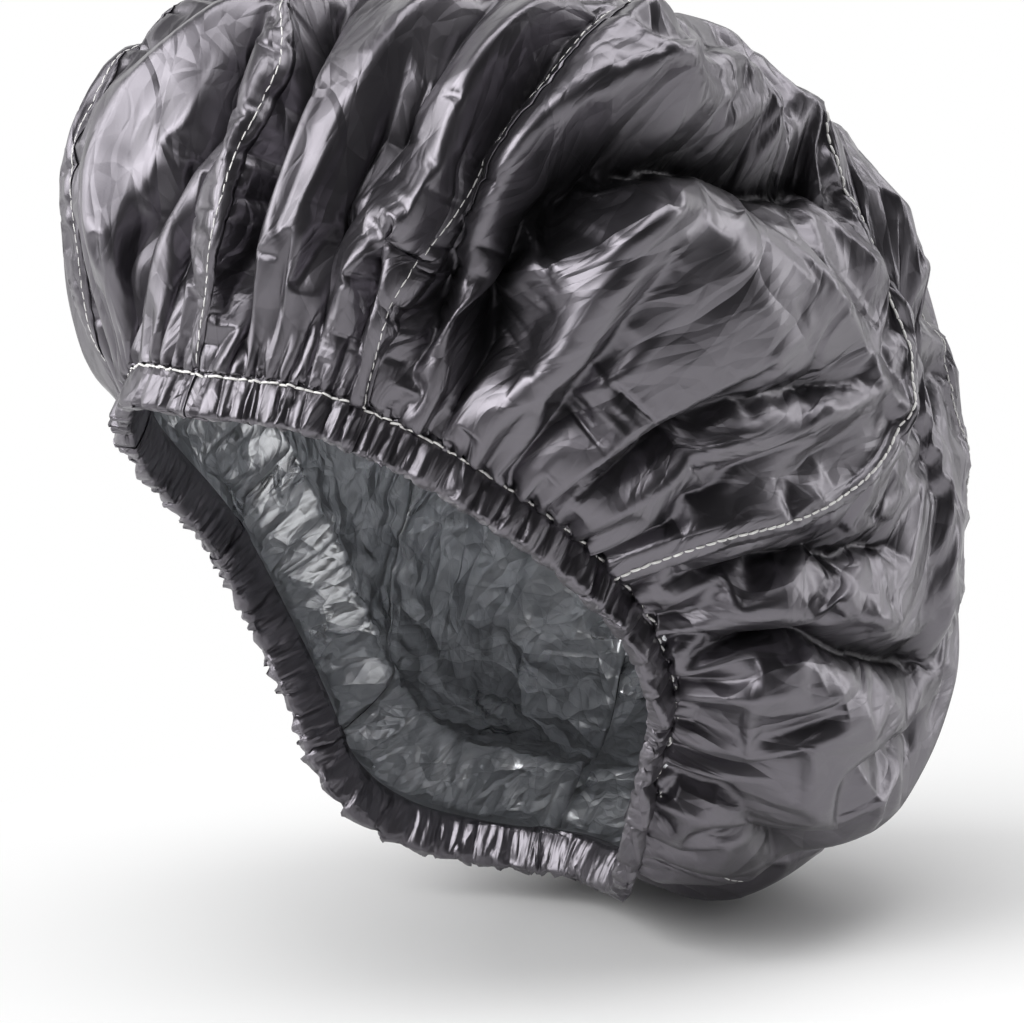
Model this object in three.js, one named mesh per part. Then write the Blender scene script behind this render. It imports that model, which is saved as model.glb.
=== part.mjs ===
// Bouffant heat cap: eight glossy film gores over eight foil-faced lining gores, gathered on an elastic band.
// Lengths are in millimetres. The origin is the centre of the head opening, the front is -Y and up is +Z.
import * as THREE from 'three';

// Head opening: the stitched row that sits on the head, high at the brow and low at the nape.
const openingHalfWidth = 78;
const openingHalfDepth = 80;
const openingHalfRise = 80;

// Head under the cap, which the hem lies flat against.
const headHalfWidth = 78;
const headHalfDepth = 95;
const headHalfHeight = 140;

// Puffed body, measured from its own centre.
const bodyCentreBack = 50;
const bodyCentreRise = 42;
const bodyHalfWidth = 108;
const bodyHalfFront = 124;
const bodyHalfBack = 142;
const bodyHalfTop = 137;
const bodyHalfBottom = 176;

// Folds of the film.
const foldHeight = 20;
const foldWidth = 26;
const foldEndAboveHem = 8;
const foldFullAboveHem = 44;
const crownFlatRadius = 14;
const crownFoldRadius = 46;

// Film and its lapped seams.
const filmThickness = 0.4;
const sewnGap = 0.3;
const lapWidth = 5;
const crownOpeningRadius = 4;

// Turned hem that holds the lining's edge and the elastic.
const hemGap = 0.5;
const hemHeight = 13;
const stitchDrop = 1.5;
const turningHeight = 4;
const pleatHeight = 2.2;
const pleatEdgeHeight = 1.1;
const pleatReach = 26;
const innerPleatShare = 0.4;
// How high a pleat stands at the stitched row, and what it gains above that row and at the bottom edge.
const stitchedPleatShare = 0.3;
const bodyPleatShare = 0.7;
const hemPleatShare = 0.5;

// Lining.
const liningThickness = 1;
const liningSeamGap = 0.5;
const liningInset = 26;
const liningInsetReach = 30;
const crownLiningReach = 60;

// Elastic band in the hem.
const elasticWidth = 6;
const elasticThickness = 0.8;
const elasticDrop = 2.5;

// Threads.
const threadWidth = 0.7;
const threadHeight = 0.7;

// Tack that gathers the tips at the crown.
const tackRadius = 7.5;
const tackDomeHeight = 1.8;
const tackEdgeHeight = 0.6;
const tackStemRadius = 2.8;
const tackFlangeRadius = 6;
const tackFlangeHeight = 1;
// Where the tack's dome turns down, as shares of its radius and height.
const tackShoulderRadiusShare = 0.7;
const tackShoulderHeightShare = 0.8;

// Counts.
const goreCount = 8;
const leastLean = 0.5;
const cellsPerGore = 8;
const wholeTurn = 360;
const stepsPerMeridian = 96;
const stepsPerOpening = 720;
// Half of the turn, in degrees, over which slopes are read.
const slopeTurn = 0.5;

// Stitched row: degrees round from the front, then shares of the opening's half width, depth and rise.
const openingShares = [
  [0, 0, -1, 0.99],
  [30, 0.5, -0.84, 0.94],
  [60, 0.87, -0.41, 0.63],
  [87, 1, 0.13, 0.19],
  [102, 0.98, 0.38, -0.2],
  [115, 0.86, 0.45, -0.48],
  [130, 0.74, 0.5, -0.75],
  [145, 0.58, 0.63, -0.91],
  [160, 0.35, 0.83, -0.99],
  [180, 0, 0.95, -1],
];

// Swellings of the puffed body: direction from its centre, reach in radians, and growth as a share.
const bodySwellShares = [
  { toward: [0.6, -0.5, 0.62], reach: 0.55, growth: 0.24 },
  { toward: [-0.6, -0.5, 0.62], reach: 0.55, growth: 0.27 },
  { toward: [0, 0.62, 0.78], reach: 0.6, growth: -0.12 },
  { toward: [0.55, 0.64, -0.54], reach: 0.5, growth: 0.1 },
  { toward: [-0.55, 0.64, -0.54], reach: 0.5, growth: 0.1 },
];
const bodySquareness = 2.35;
const crownToward = [0, 0.444, 0.896];
const gatherSteepness = 6;

// Where a fold starts, is full, begins to fade and ends, as shares of its route, and how sharp its crest is.
const foldEndShares = [-0.1, 0.25, 0.9, 1.1];
const foldSharpness = 1.3;

// Seams: share of the way from the crown to the stitched row, then degrees round from the front.
const seamShares = [
  [[0, -10], [0.5, -8], [0.65, 0], [0.8, 2], [1, -2]],
  [[0, 38], [0.25, 46], [0.43, 48], [0.6, 41], [0.75, 35], [1, 27]],
  [[0, 80], [0.25, 82], [0.36, 98], [0.46, 116], [0.6, 115], [0.76, 101], [0.86, 89], [1, 79]],
  [[0, 125], [0.35, 140], [0.5, 156], [0.7, 160], [0.85, 155], [1, 143]],
  [[0, 172], [0.5, 196], [0.75, 194], [1, 186]],
  [[0, 215], [0.5, 230], [1, 228]],
  [[0, 262], [0.5, 264], [1, 270]],
  [[0, 305], [0.5, 314], [0.7, 322], [1, 313]],
];

// Main folds: height and half width as shares of the fold sizes, minus for a valley, how much steeper the
// fold's left side is going down its route, and the route over the body as degrees round from the front and
// share of the way from the crown to the stitched row.
const foldShares = [
  // Front right of the wearer.
  [0.45, 0.73, 0.45, [[-20, 0.48], [-22, 0.62], [-28, 0.72], [-27, 0.8], [-21, 0.92]]],
  [-0.65, 0.42, 0, [[-13, 0.56], [-9, 0.69], [-12, 0.78], [-17, 0.86], [-20, 0.95]]],
  [0.45, 0.5, 0.5, [[-8, 0.42], [-2, 0.62], [2, 0.74], [2, 0.86], [1, 0.97]]],
  [-0.8, 0.42, 0, [[1, 0.52], [8, 0.7], [10, 0.8], [9, 0.88], [9, 0.98]]],
  [0.4, 0.46, 0.35, [[26, 0.42], [20, 0.63], [17, 0.76], [16, 0.86], [15, 0.95]]],
  [-0.35, 0.4, 0, [[31, 0.5], [28, 0.62], [24, 0.73]]],
  // Left front, on both sides of the seam there.
  [0.4, 0.42, 0.6, [[46, 0.42], [36, 0.63], [34, 0.73], [32, 0.84], [31, 0.95]]],
  [-0.6, 0.38, 0, [[48, 0.48], [42, 0.62], [39, 0.73], [37, 0.84], [36, 0.96]]],
  [0.35, 0.46, -0.5, [[60, 0.36], [51, 0.48], [46, 0.58]]],
  // Deep sweep over the left side and the ridges that leave it.
  [-1.2, 0.96, -0.35, [[116, 0.34], [96, 0.4], [80, 0.46], [66, 0.53], [54, 0.63], [47, 0.73], [45, 0.84], [45, 0.96]]],
  [0.45, 0.46, -0.6, [[84, 0.42], [79, 0.36], [70, 0.37], [62, 0.46], [52, 0.57], [43, 0.68], [39, 0.78]]],
  [0.3, 0.4, 0, [[60, 0.3], [74, 0.28], [92, 0.33], [106, 0.4]]],
  [0.4, 0.42, -0.45, [[68, 0.58], [61, 0.69], [57, 0.78], [56, 0.86], [55, 0.97]]],
  [-0.4, 0.38, 0, [[69, 0.66], [64, 0.78], [62, 0.88], [61, 0.98]]],
  [0.45, 0.54, -0.55, [[112, 0.58], [103, 0.63], [88, 0.75], [79, 0.84], [73, 0.97]]],
  [-0.35, 0.38, 0, [[106, 0.6], [94, 0.67], [83, 0.76], [76, 0.85], [69, 0.97]]],
  [0.35, 0.46, -0.3, [[120, 0.42], [120, 0.54], [113, 0.65], [100, 0.77], [88, 0.88], [82, 0.97]]],
  [-0.55, 0.4, -0.3, [[130, 0.62], [116, 0.72], [101, 0.84], [90, 0.96]]],
  [0.4, 0.46, 0, [[135, 0.67], [112, 0.82], [97, 0.92]]],
  [-0.8, 0.46, 0, [[148, 0.63], [140, 0.69], [130, 0.74], [113, 0.84], [100, 0.97]]],
  [-0.7, 0.54, 0, [[152, 0.85], [139, 0.89], [124, 0.93], [117, 0.98]]],
  [0.3, 0.4, 0, [[112, 0.28], [126, 0.34], [139, 0.37], [151, 0.4]]],
  [-0.3, 0.4, 0, [[104, 0.36], [122, 0.4], [140, 0.44], [150, 0.5]]],
  [0.3, 0.4, 0, [[123, 0.42], [139, 0.48], [144, 0.58], [147, 0.66]]],
  // Back.
  [-0.5, 0.7, 0, [[176, 0.5], [170, 0.66], [160, 0.78], [154, 0.9]]],
  [0.45, 0.65, 0.3, [[190, 0.4], [186, 0.6], [182, 0.8], [178, 0.97]]],
  [-0.6, 0.62, 0, [[204, 0.45], [206, 0.65], [201, 0.85], [197, 0.98]]],
  [0.4, 0.5, 0, [[228, 0.4], [226, 0.65], [221, 0.95]]],
  [-0.7, 0.7, 0, [[246, 0.36], [240, 0.6], [238, 0.8], [232, 0.98]]],
  [-0.3, 0.4, 0, [[152, 0.58], [166, 0.6], [184, 0.56]]],
  // Right of the wearer.
  [0.45, 0.62, -0.3, [[262, 0.35], [260, 0.6], [266, 0.95]]],
  [-0.6, 0.62, 0, [[274, 0.45], [276, 0.65], [282, 0.85], [280, 0.98]]],
  [0.4, 0.5, 0.3, [[292, 0.5], [296, 0.72], [297, 0.96]]],
  [-0.6, 0.5, 0, [[304, 0.5], [310, 0.7], [307, 0.97]]],
  [0.3, 0.4, 0, [[314, 0.4], [321, 0.66], [314, 0.95]]],
];

// Swollen panels between the folds: height and radius as shares of the body's half width, and their place.
const panelShares = [
  { height: 0.07, radius: 0.41, place: [82, 0.64] },
  { height: 0.09, radius: 0.4, place: [126, 0.85] },
  { height: 0.06, radius: 0.33, place: [-16, 0.93] },
  { height: -0.065, radius: 0.22, place: [27, 0.74] },
  { height: 0.055, radius: 0.28, place: [51, 0.56] },
  { height: -0.08, radius: 0.3, place: [140, 0.42] },
  { height: 0.06, radius: 0.4, place: [184, 0.75] },
  { height: 0.06, radius: 0.4, place: [250, 0.6] },
  { height: -0.06, radius: 0.3, place: [220, 0.45] },
  { height: -0.06, radius: 0.37, place: [147, 0.63] },
  { height: 0.06, radius: 0.35, place: [172, 0.92] },
];

// Rows down a gore, as shares of the way from the crown opening to the stitched row.
const wideRowShares = [0, 0.06, 0.14, 0.23, 0.32, 0.41, 0.5, 0.59, 0.68, 0.77, 0.85];
const gatheredRowShare = 0.92;
const liningRowShares = [0, 0.035, 0.15, 0.3, 0.46, 0.62, 0.76, 0.87, 0.94];

const bodyCentre = new THREE.Vector3(0, bodyCentreBack, bodyCentreRise);
const crownDirection = new THREE.Vector3(...crownToward).normalize();
// The middle layer of the hem is the lining, with a film leg on each side of it.
const legOffset = liningThickness / 2 + hemGap + filmThickness;
const lapLift = filmThickness + sewnGap;

function smooth(from, to, value) {
  return THREE.MathUtils.smoothstep(value, from, to);
}

function mirrored(stations) {
  const back = stations.slice(1, -1).reverse();
  const other = back.map(([turn, x, y, z]) => [wholeTurn - turn, -x, y, z]);
  return stations.concat(other);
}

const openingStations = mirrored(openingShares).map(([turn, x, y, z]) => ({
  turn,
  point: new THREE.Vector3(x * openingHalfWidth, y * openingHalfDepth, z * openingHalfRise),
}));

function station(index) {
  const count = openingStations.length;
  const lap = Math.floor(index / count);
  const entry = openingStations[index - lap * count];
  return { turn: entry.turn + lap * wholeTurn, point: entry.point };
}

function stationSlope(index) {
  const before = station(index - 1);
  const after = station(index + 1);
  return after.point.clone().sub(before.point).divideScalar(after.turn - before.turn);
}

// Smooth closed curve through the stations.
function openingCurve(turn) {
  const wrapped = ((turn % wholeTurn) + wholeTurn) % wholeTurn;
  let index = openingStations.length - 1;
  while (openingStations[index].turn > wrapped) {
    index -= 1;
  }
  const start = station(index);
  const end = station(index + 1);
  const span = end.turn - start.turn;
  const t = (wrapped - start.turn) / span;
  const point = start.point.clone().multiplyScalar(2 * t ** 3 - 3 * t ** 2 + 1);
  point.addScaledVector(stationSlope(index), (t ** 3 - 2 * t ** 2 + t) * span);
  point.addScaledVector(end.point, -2 * t ** 3 + 3 * t ** 2);
  point.addScaledVector(stationSlope(index + 1), (t ** 3 - t ** 2) * span);
  return point;
}

// Lengths along a list of points.
function runningLengths(points) {
  const lengths = [0];
  for (let i = 1; i < points.length; i += 1) {
    lengths.push(lengths[i - 1] + points[i].distanceTo(points[i - 1]));
  }
  return lengths;
}

// Index and share in the interval of a rising list that holds the value.
function locate(list, value) {
  let low = 0;
  let high = list.length - 1;
  while (high - low > 1) {
    const middle = (low + high) >> 1;
    if (list[middle] > value) {
      high = middle;
    } else {
      low = middle;
    }
  }
  const share = THREE.MathUtils.clamp((value - list[low]) / (list[high] - list[low]), 0, 1);
  return { low, share };
}

const openingSteps = Array.from({ length: stepsPerOpening + 1 }, (_, i) => (i * wholeTurn) / stepsPerOpening);
const openingLengths = runningLengths(openingSteps.map(openingCurve));
const openingLength = openingLengths[stepsPerOpening];

// Degrees round from the front are spaced by length along the stitched row.
function openingPoint(turn) {
  const wrapped = ((turn % wholeTurn) + wholeTurn) % wholeTurn;
  const { low, share } = locate(openingLengths, (wrapped / wholeTurn) * openingLength);
  return openingCurve(openingSteps[low] + share * (openingSteps[low + 1] - openingSteps[low]));
}

const swells = bodySwellShares.map(({ toward, reach, growth }) => ({
  toward: new THREE.Vector3(...toward).normalize(),
  reach,
  growth,
}));

// Distance from the body's centre to its puffed surface.
function bodyRadius(direction) {
  const halfDepth = direction.y < 0 ? bodyHalfFront : bodyHalfBack;
  const halfHeight = direction.z > 0 ? bodyHalfTop : bodyHalfBottom;
  const sum = Math.abs(direction.x / bodyHalfWidth) ** bodySquareness
    + Math.abs(direction.y / halfDepth) ** bodySquareness
    + Math.abs(direction.z / halfHeight) ** bodySquareness;
  let radius = sum ** (-1 / bodySquareness);
  for (const { toward, reach, growth } of swells) {
    const angle = direction.angleTo(toward);
    radius *= 1 + growth * Math.exp(-((angle / reach) ** 2));
  }
  return radius;
}

// The body swings from the crown to the opening and is drawn in towards the stitched row.
function drawnPoint(opening, share) {
  const arm = opening.clone().sub(bodyCentre);
  const reach = arm.length();
  const toward = arm.divideScalar(reach);
  const swing = crownDirection.angleTo(toward);
  const direction = crownDirection.clone().multiplyScalar(Math.sin((1 - share) * swing) / Math.sin(swing));
  direction.addScaledVector(toward, Math.sin(share * swing) / Math.sin(swing));
  const draw = share ** gatherSteepness;
  const radius = bodyRadius(direction) * (1 - draw) + reach * draw;
  return direction.multiplyScalar(radius).add(bodyCentre);
}

const meridians = new Map();

function meridian(turn) {
  const key = turn.toFixed(4);
  if (!meridians.has(key)) {
    const opening = openingPoint(turn);
    const points = Array.from({ length: stepsPerMeridian + 1 }, (_, i) => drawnPoint(opening, i / stepsPerMeridian));
    const lengths = runningLengths(points);
    meridians.set(key, { points, lengths, length: lengths[stepsPerMeridian] });
  }
  return meridians.get(key);
}

// Direction of the hem below the stitched row, flat against the head.
function hemDirection(turn) {
  const along = openingPoint(turn + slopeTurn).sub(openingPoint(turn - slopeTurn)).normalize();
  const point = openingPoint(turn);
  const outward = point.clone();
  outward.divide(new THREE.Vector3(headHalfWidth ** 2, headHalfDepth ** 2, headHalfHeight ** 2));
  outward.addScaledVector(along, -outward.dot(along)).normalize();
  return along.cross(outward);
}

// Point of the middle layer: up is the length above the stitched row, minus in the hem.
function spinePoint(turn, up) {
  if (up < 0) {
    return openingPoint(turn).addScaledVector(hemDirection(turn), -up);
  }
  const line = meridian(turn);
  const { low, share } = locate(line.lengths, line.length - up);
  return line.points[low].clone().lerp(line.points[low + 1], share);
}

// Outward normal of the middle layer, lengthened where the layers bend at the stitched row.
function spineNormal(turn, up) {
  const upStep = openingLength / stepsPerOpening;
  const here = spinePoint(turn, up);
  const above = spinePoint(turn, up + upStep).sub(here).normalize();
  const below = here.sub(spinePoint(turn, up - upStep)).normalize();
  const around = spinePoint(turn + slopeTurn, up).sub(spinePoint(turn - slopeTurn, up));
  const upward = above.add(below).divideScalar(2);
  const lean = Math.max(upward.length(), leastLean);
  return around.cross(upward).normalize().divideScalar(lean);
}

function heightAbove(turn, share) {
  const { length } = meridian(turn);
  return (1 - share) * (length - crownOpeningRadius);
}

const foldRoutes = foldShares.map(([height, width, lean, route]) => {
  const points = route.map(([turn, share]) => spinePoint(turn, heightAbove(turn, share)));
  const lengths = runningLengths(points);
  return { height: height * foldHeight, width: width * foldWidth, lean, points, lengths };
});

const panels = panelShares.map(({ height, radius, place: [turn, share] }) => ({
  height: height * bodyHalfWidth,
  radius: radius * bodyHalfWidth,
  centre: spinePoint(turn, heightAbove(turn, share)),
}));

// How much one fold raises the film, falling off to both sides and towards its ends.
function foldRise(fold, point, normal) {
  const line = new THREE.Line3();
  const nearest = new THREE.Vector3();
  let best = Infinity;
  let bestShare = 0;
  let leftHand = 0;
  for (let i = 1; i < fold.points.length; i += 1) {
    line.set(fold.points[i - 1], fold.points[i]);
    const t = line.closestPointToPointParameter(point, true);
    line.at(t, nearest);
    const distance = nearest.distanceTo(point);
    if (distance < best) {
      best = distance;
      bestShare = fold.lengths[i - 1] + t * (fold.lengths[i] - fold.lengths[i - 1]);
      const way = line.delta(new THREE.Vector3()).normalize();
      leftHand = way.cross(point.clone().sub(nearest).normalize()).dot(normal);
    }
  }
  const share = bestShare / fold.lengths[fold.lengths.length - 1];
  const side = Math.max(0, 1 - best / (fold.width * (1 - fold.lean * leftHand)));
  const [startLow, startFull, endFull, endLow] = foldEndShares;
  const ends = smooth(startLow, startFull, share) * (1 - smooth(endFull, endLow, share));
  return fold.height * side ** foldSharpness * ends;
}

// Rise of the film over the smooth body.
function foldedRise(turn, up, point, normal) {
  let rise = 0;
  for (const fold of foldRoutes) {
    rise += foldRise(fold, point, normal);
  }
  for (const panel of panels) {
    rise += panel.height * Math.exp(-((panel.centre.distanceTo(point) / panel.radius) ** 2));
  }
  const fromCrown = meridian(turn).length - up;
  return rise * smooth(foldEndAboveHem, foldFullAboveHem, up) * smooth(crownFlatRadius, crownFoldRadius, fromCrown);
}

// Every other gathered column stands out as a pleat, apart from the one in the lapped seam.
function isPleat(column) {
  return !Number.isInteger(column) && column % cellsPerGore > 1;
}

function pleatRise(column, up) {
  if (!isPleat(column)) {
    return 0;
  }
  if (up > 0) {
    const swell = Math.sin(Math.PI * Math.min(1, up / pleatReach));
    return pleatHeight * (stitchedPleatShare + bodyPleatShare * swell);
  }
  return pleatHeight * (stitchedPleatShare + hemPleatShare * (-up / hemHeight));
}

// Seams as smooth curves, read at a share of the way down.
function seamTurn(index, share) {
  const lap = Math.floor(index / goreCount);
  const route = seamShares[index - lap * goreCount];
  const { low, share: between } = locate(route.map((entry) => entry[0]), share);
  const eased = smooth(0, 1, between);
  return route[low][1] + eased * (route[low + 1][1] - route[low][1]) + lap * wholeTurn;
}

// Width of a gore at a share of the way down, along the body.
function goreWidth(gore, share) {
  const from = seamTurn(gore, share);
  const to = seamTurn(gore + 1, share);
  const points = Array.from({ length: cellsPerGore + 1 }, (_, i) => {
    const turn = from + ((to - from) * i) / cellsPerGore;
    return spinePoint(turn, heightAbove(turn, share));
  });
  return runningLengths(points)[cellsPerGore];
}

// Turn of a column of a gore: column 1 is the lap's edge, and the others share the rest evenly.
function columnTurn(gore, column, share) {
  const from = seamTurn(gore, share);
  const to = seamTurn(gore + 1, share);
  const width = goreWidth(gore, share);
  const lap = Math.min(lapWidth, width / 3) / width;
  const place = column < 1 ? column * lap : lap + ((column - 1) / (cellsPerGore - 1)) * (1 - lap);
  return from + (to - from) * place;
}

// Rows of a film gore. Side is 1 on the outer leg of the hem and -1 on its inner leg.
function filmRows() {
  const rows = wideRowShares.map((share) => ({ share, side: 1, fine: false }));
  rows.push({ share: gatheredRowShare, side: 1, fine: true });
  rows.push({ up: turningHeight, side: 1, fine: true });
  rows.push({ up: 0, side: 1, fine: true });
  rows.push({ up: -hemHeight, side: 1, fine: true });
  rows.push({ up: -hemHeight, side: -1, fine: true });
  rows.push({ up: 0, side: -1, fine: true });
  rows.push({ up: turningHeight, side: -1, fine: true });
  return rows;
}

const rows = filmRows();
const stitchedRow = rows.findIndex((row) => row.up === 0);

// Columns of a row. A half column lies under each seam's thread, and the gathered rows have them all.
function rowColumns(row, cells) {
  const halves = Array.from({ length: 2 * cells + 1 }, (_, i) => i / 2);
  return halves.filter((column) => row.fine || Number.isInteger(column) || column % cellsPerGore === 0.5);
}

function filmPoint(gore, column, row) {
  const share = row.share ?? 1;
  const turn = columnTurn(gore, column, share);
  const up = row.up ?? heightAbove(turn, share);
  const point = spinePoint(turn, up);
  const normal = spineNormal(turn, up);
  let rise = row.side * legOffset;
  if (row.side > 0) {
    rise += foldedRise(turn, up, point, normal.clone().normalize());
  }
  if (row.fine) {
    rise += row.side * pleatRise(column, up) * (row.side < 0 ? innerPleatShare : 1);
  }
  point.addScaledVector(normal, rise);
  if (up === -hemHeight && isPleat(column)) {
    point.addScaledVector(hemDirection(turn), pleatEdgeHeight);
  }
  return point;
}

// Points of the film before it gets its thickness, by gore, row and column.
const filmGrid = Array.from({ length: goreCount }, (_, gore) => (
  rows.map((row) => new Map(rowColumns(row, cellsPerGore).map((column) => [column, filmPoint(gore, column, row)])))
));

function gridKey(gore, row, column) {
  const wrap = column >= cellsPerGore;
  const wrappedGore = (gore + (wrap ? 1 : 0)) % goreCount;
  return [wrappedGore, row, wrap ? column - cellsPerGore : column];
}

function gridPoint(gore, row, column) {
  const [g, r, c] = gridKey(gore, row, column);
  return filmGrid[g][r].get(c);
}

// Triangles between two rows, each a list of [column, entry], where the second may have more columns.
function stripTriangles(upper, lower) {
  const triangles = [];
  let i = 0;
  let k = 0;
  while (i < upper.length - 1 || k < lower.length - 1) {
    const lowerNext = k < lower.length - 1 && (i === upper.length - 1 || lower[k + 1][0] <= upper[i + 1][0]);
    const next = lowerNext ? lower[k + 1] : upper[i + 1];
    triangles.push([upper[i][1], lower[k][1], next[1]]);
    i += lowerNext ? 0 : 1;
    k += lowerNext ? 1 : 0;
  }
  return triangles;
}

function faceNormal(a, b, c) {
  return b.clone().sub(a).cross(c.clone().sub(a));
}

// Normals of the film, averaged over the faces round each point and lengthened at folds to keep the thickness.
function filmNormals() {
  const empty = (row) => new Map([...row.keys()].map((c) => [c, { sum: new THREE.Vector3(), faces: [] }]));
  const sums = filmGrid.map((gore) => gore.map(empty));
  for (let gore = 0; gore < goreCount; gore += 1) {
    for (let row = 1; row < rows.length; row += 1) {
      const upper = rowColumns(rows[row - 1], cellsPerGore).map((c) => [c, [row - 1, c]]);
      const lower = rowColumns(rows[row], cellsPerGore).map((c) => [c, [row, c]]);
      for (const triangle of stripTriangles(upper, lower)) {
        const corners = triangle.map(([r, c]) => gridPoint(gore, r, c));
        const normal = faceNormal(...corners);
        for (const [r, c] of triangle) {
          const [g, rr, cc] = gridKey(gore, r, c);
          const entry = sums[g][rr].get(cc);
          entry.sum.add(normal);
          entry.faces.push(normal.clone().normalize());
        }
      }
    }
  }
  const finish = ({ sum, faces }) => {
    sum.normalize();
    const lean = faces.reduce((total, face) => total + face.dot(sum), 0) / faces.length;
    return sum.divideScalar(Math.max(lean, leastLean));
  };
  return sums.map((gore) => gore.map((row) => new Map([...row].map(([c, entry]) => [c, finish(entry)]))));
}

const filmNormalGrid = filmNormals();

function gridNormal(gore, row, column) {
  const [g, r, c] = gridKey(gore, row, column);
  return filmNormalGrid[g][r].get(c);
}

function geometryFrom(points, triangles) {
  const geometry = new THREE.BufferGeometry();
  geometry.setAttribute('position', new THREE.Float32BufferAttribute(points.flatMap((p) => p.toArray()), 3));
  geometry.setIndex(triangles.flat());
  geometry.computeVertexNormals();
  return geometry;
}

// Closed solid from an outer sheet of rows and the same sheet moved inwards, each row a list of [column, point].
function sheetSolid(outerRows, innerRows) {
  const points = [];
  const index = (sheet) => sheet.map((row) => row.map(([column, point]) => [column, points.push(point) - 1]));
  const outer = index(outerRows);
  const inner = index(innerRows);
  const triangles = [];
  for (let row = 1; row < outer.length; row += 1) {
    triangles.push(...stripTriangles(outer[row - 1], outer[row]));
    triangles.push(...stripTriangles(inner[row - 1], inner[row]).map(([a, b, c]) => [a, c, b]));
  }
  const last = outer.length - 1;
  const rim = ([, a], [, b], [, c], [, d]) => triangles.push([a, b, c], [b, d, c]);
  for (let i = 1; i < outer[0].length; i += 1) {
    rim(outer[0][i - 1], outer[0][i], inner[0][i - 1], inner[0][i]);
  }
  for (let i = 1; i < outer[last].length; i += 1) {
    rim(outer[last][i], outer[last][i - 1], inner[last][i], inner[last][i - 1]);
  }
  for (let row = 1; row <= last; row += 1) {
    const endA = outer[row - 1].length - 1;
    const endB = outer[row].length - 1;
    rim(outer[row][0], outer[row - 1][0], inner[row][0], inner[row - 1][0]);
    rim(outer[row - 1][endA], outer[row][endB], inner[row - 1][endA], inner[row][endB]);
  }
  return geometryFrom(points, triangles);
}

// The far edge of a gore climbs over its neighbour and laps it.
function lapRise(column) {
  return lapLift * THREE.MathUtils.clamp(column - (cellsPerGore - 1), 0, 1);
}

function filmGore(gore) {
  const sheet = (shift) => rows.map((row, r) => rowColumns(row, cellsPerGore + 1).map((column) => {
    const rise = lapRise(column) + shift;
    return [column, gridPoint(gore, r, column).clone().addScaledVector(gridNormal(gore, r, column), rise)];
  }));
  return sheetSolid(sheet(0), sheet(-filmThickness));
}

// How far the lining hangs inside the film's smooth body.
function liningDrop(turn, up) {
  const fromCrown = meridian(turn).length - up;
  const crownDrop = legOffset;
  const full = crownDrop + (liningInset - crownDrop) * smooth(crownFlatRadius, crownLiningReach, fromCrown);
  return full * smooth(turningHeight, liningInsetReach, up);
}

function liningPoint(gore, column, share, up) {
  const middle = columnTurn(gore, column, share);
  const heightAt = (turn) => up ?? heightAbove(turn, share);
  const placeAt = (turn) => spinePoint(turn, heightAt(turn));
  const perDegree = placeAt(middle + slopeTurn).distanceTo(placeAt(middle - slopeTurn)) / (2 * slopeTurn);
  // The edges stand back from the seam by half its gap.
  const side = (column === 0 ? 1 : 0) - (column === cellsPerGore ? 1 : 0);
  const turn = middle + (side * liningSeamGap) / 2 / perDegree;
  const height = heightAt(turn);
  const normal = spineNormal(turn, height);
  const point = placeAt(turn).addScaledVector(normal, -liningDrop(turn, height));
  const half = liningThickness / 2;
  return [point.clone().addScaledVector(normal, half), point.clone().addScaledVector(normal, -half)];
}

function liningGore(gore) {
  const places = liningRowShares.map((share) => ({ share, up: undefined }));
  places.push({ share: 1, up: turningHeight });
  places.push({ share: 1, up: 0 });
  const columns = Array.from({ length: cellsPerGore + 1 }, (_, i) => i);
  const pairs = places.map(({ share, up }) => columns.map((column) => liningPoint(gore, column, share, up)));
  const sheet = (side) => pairs.map((row) => row.map((pair, column) => [column, pair[side]]));
  return sheetSolid(sheet(0), sheet(1));
}

// Closed loop or open run of a section with its corners given at each stop.
function sectionSolid(sections, closed) {
  const sides = sections[0].length;
  const points = sections.flat();
  const triangles = [];
  const stops = closed ? sections.length : sections.length - 1;
  for (let i = 0; i < stops; i += 1) {
    const here = i * sides;
    const next = ((i + 1) % sections.length) * sides;
    for (let k = 0; k < sides; k += 1) {
      const other = (k + 1) % sides;
      triangles.push([here + k, next + k, here + other], [here + other, next + k, next + other]);
    }
  }
  if (!closed) {
    const end = (sections.length - 1) * sides;
    for (let k = 2; k < sides; k += 1) {
      triangles.push([0, k - 1, k], [end, end + k, end + k - 1]);
    }
  }
  return geometryFrom(points, triangles);
}

function elasticBand() {
  const sections = [];
  const half = elasticThickness / 2;
  for (let gore = 0; gore < goreCount; gore += 1) {
    for (let column = 0; column < cellsPerGore; column += 1) {
      const turn = columnTurn(gore, column, 1);
      const top = -elasticDrop;
      const bottom = -elasticDrop - elasticWidth;
      const normal = spineNormal(turn, (top + bottom) / 2);
      const high = spinePoint(turn, top);
      const low = spinePoint(turn, bottom);
      sections.push([
        high.clone().addScaledVector(normal, half),
        high.clone().addScaledVector(normal, -half),
        low.clone().addScaledVector(normal, -half),
        low.clone().addScaledVector(normal, half),
      ]);
    }
  }
  return sectionSolid(sections, true);
}

// Three-sided thread that runs over the film, flat side down.
function threadSection(point, normal, along) {
  const side = along.clone().cross(normal).normalize();
  const low = point.clone().addScaledVector(normal, sewnGap);
  return [
    low.clone().addScaledVector(side, threadWidth / 2),
    low.clone().addScaledVector(normal, threadHeight),
    low.clone().addScaledVector(side, -threadWidth / 2),
  ];
}

function threadSolid(points, normals, closed) {
  const count = points.length;
  const sections = points.map((point, i) => {
    const before = closed ? points[(i + count - 1) % count] : points[Math.max(0, i - 1)];
    const after = closed ? points[(i + 1) % count] : points[Math.min(count - 1, i + 1)];
    return threadSection(point, normals[i], after.clone().sub(before));
  });
  return sectionSolid(sections, closed);
}

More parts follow.
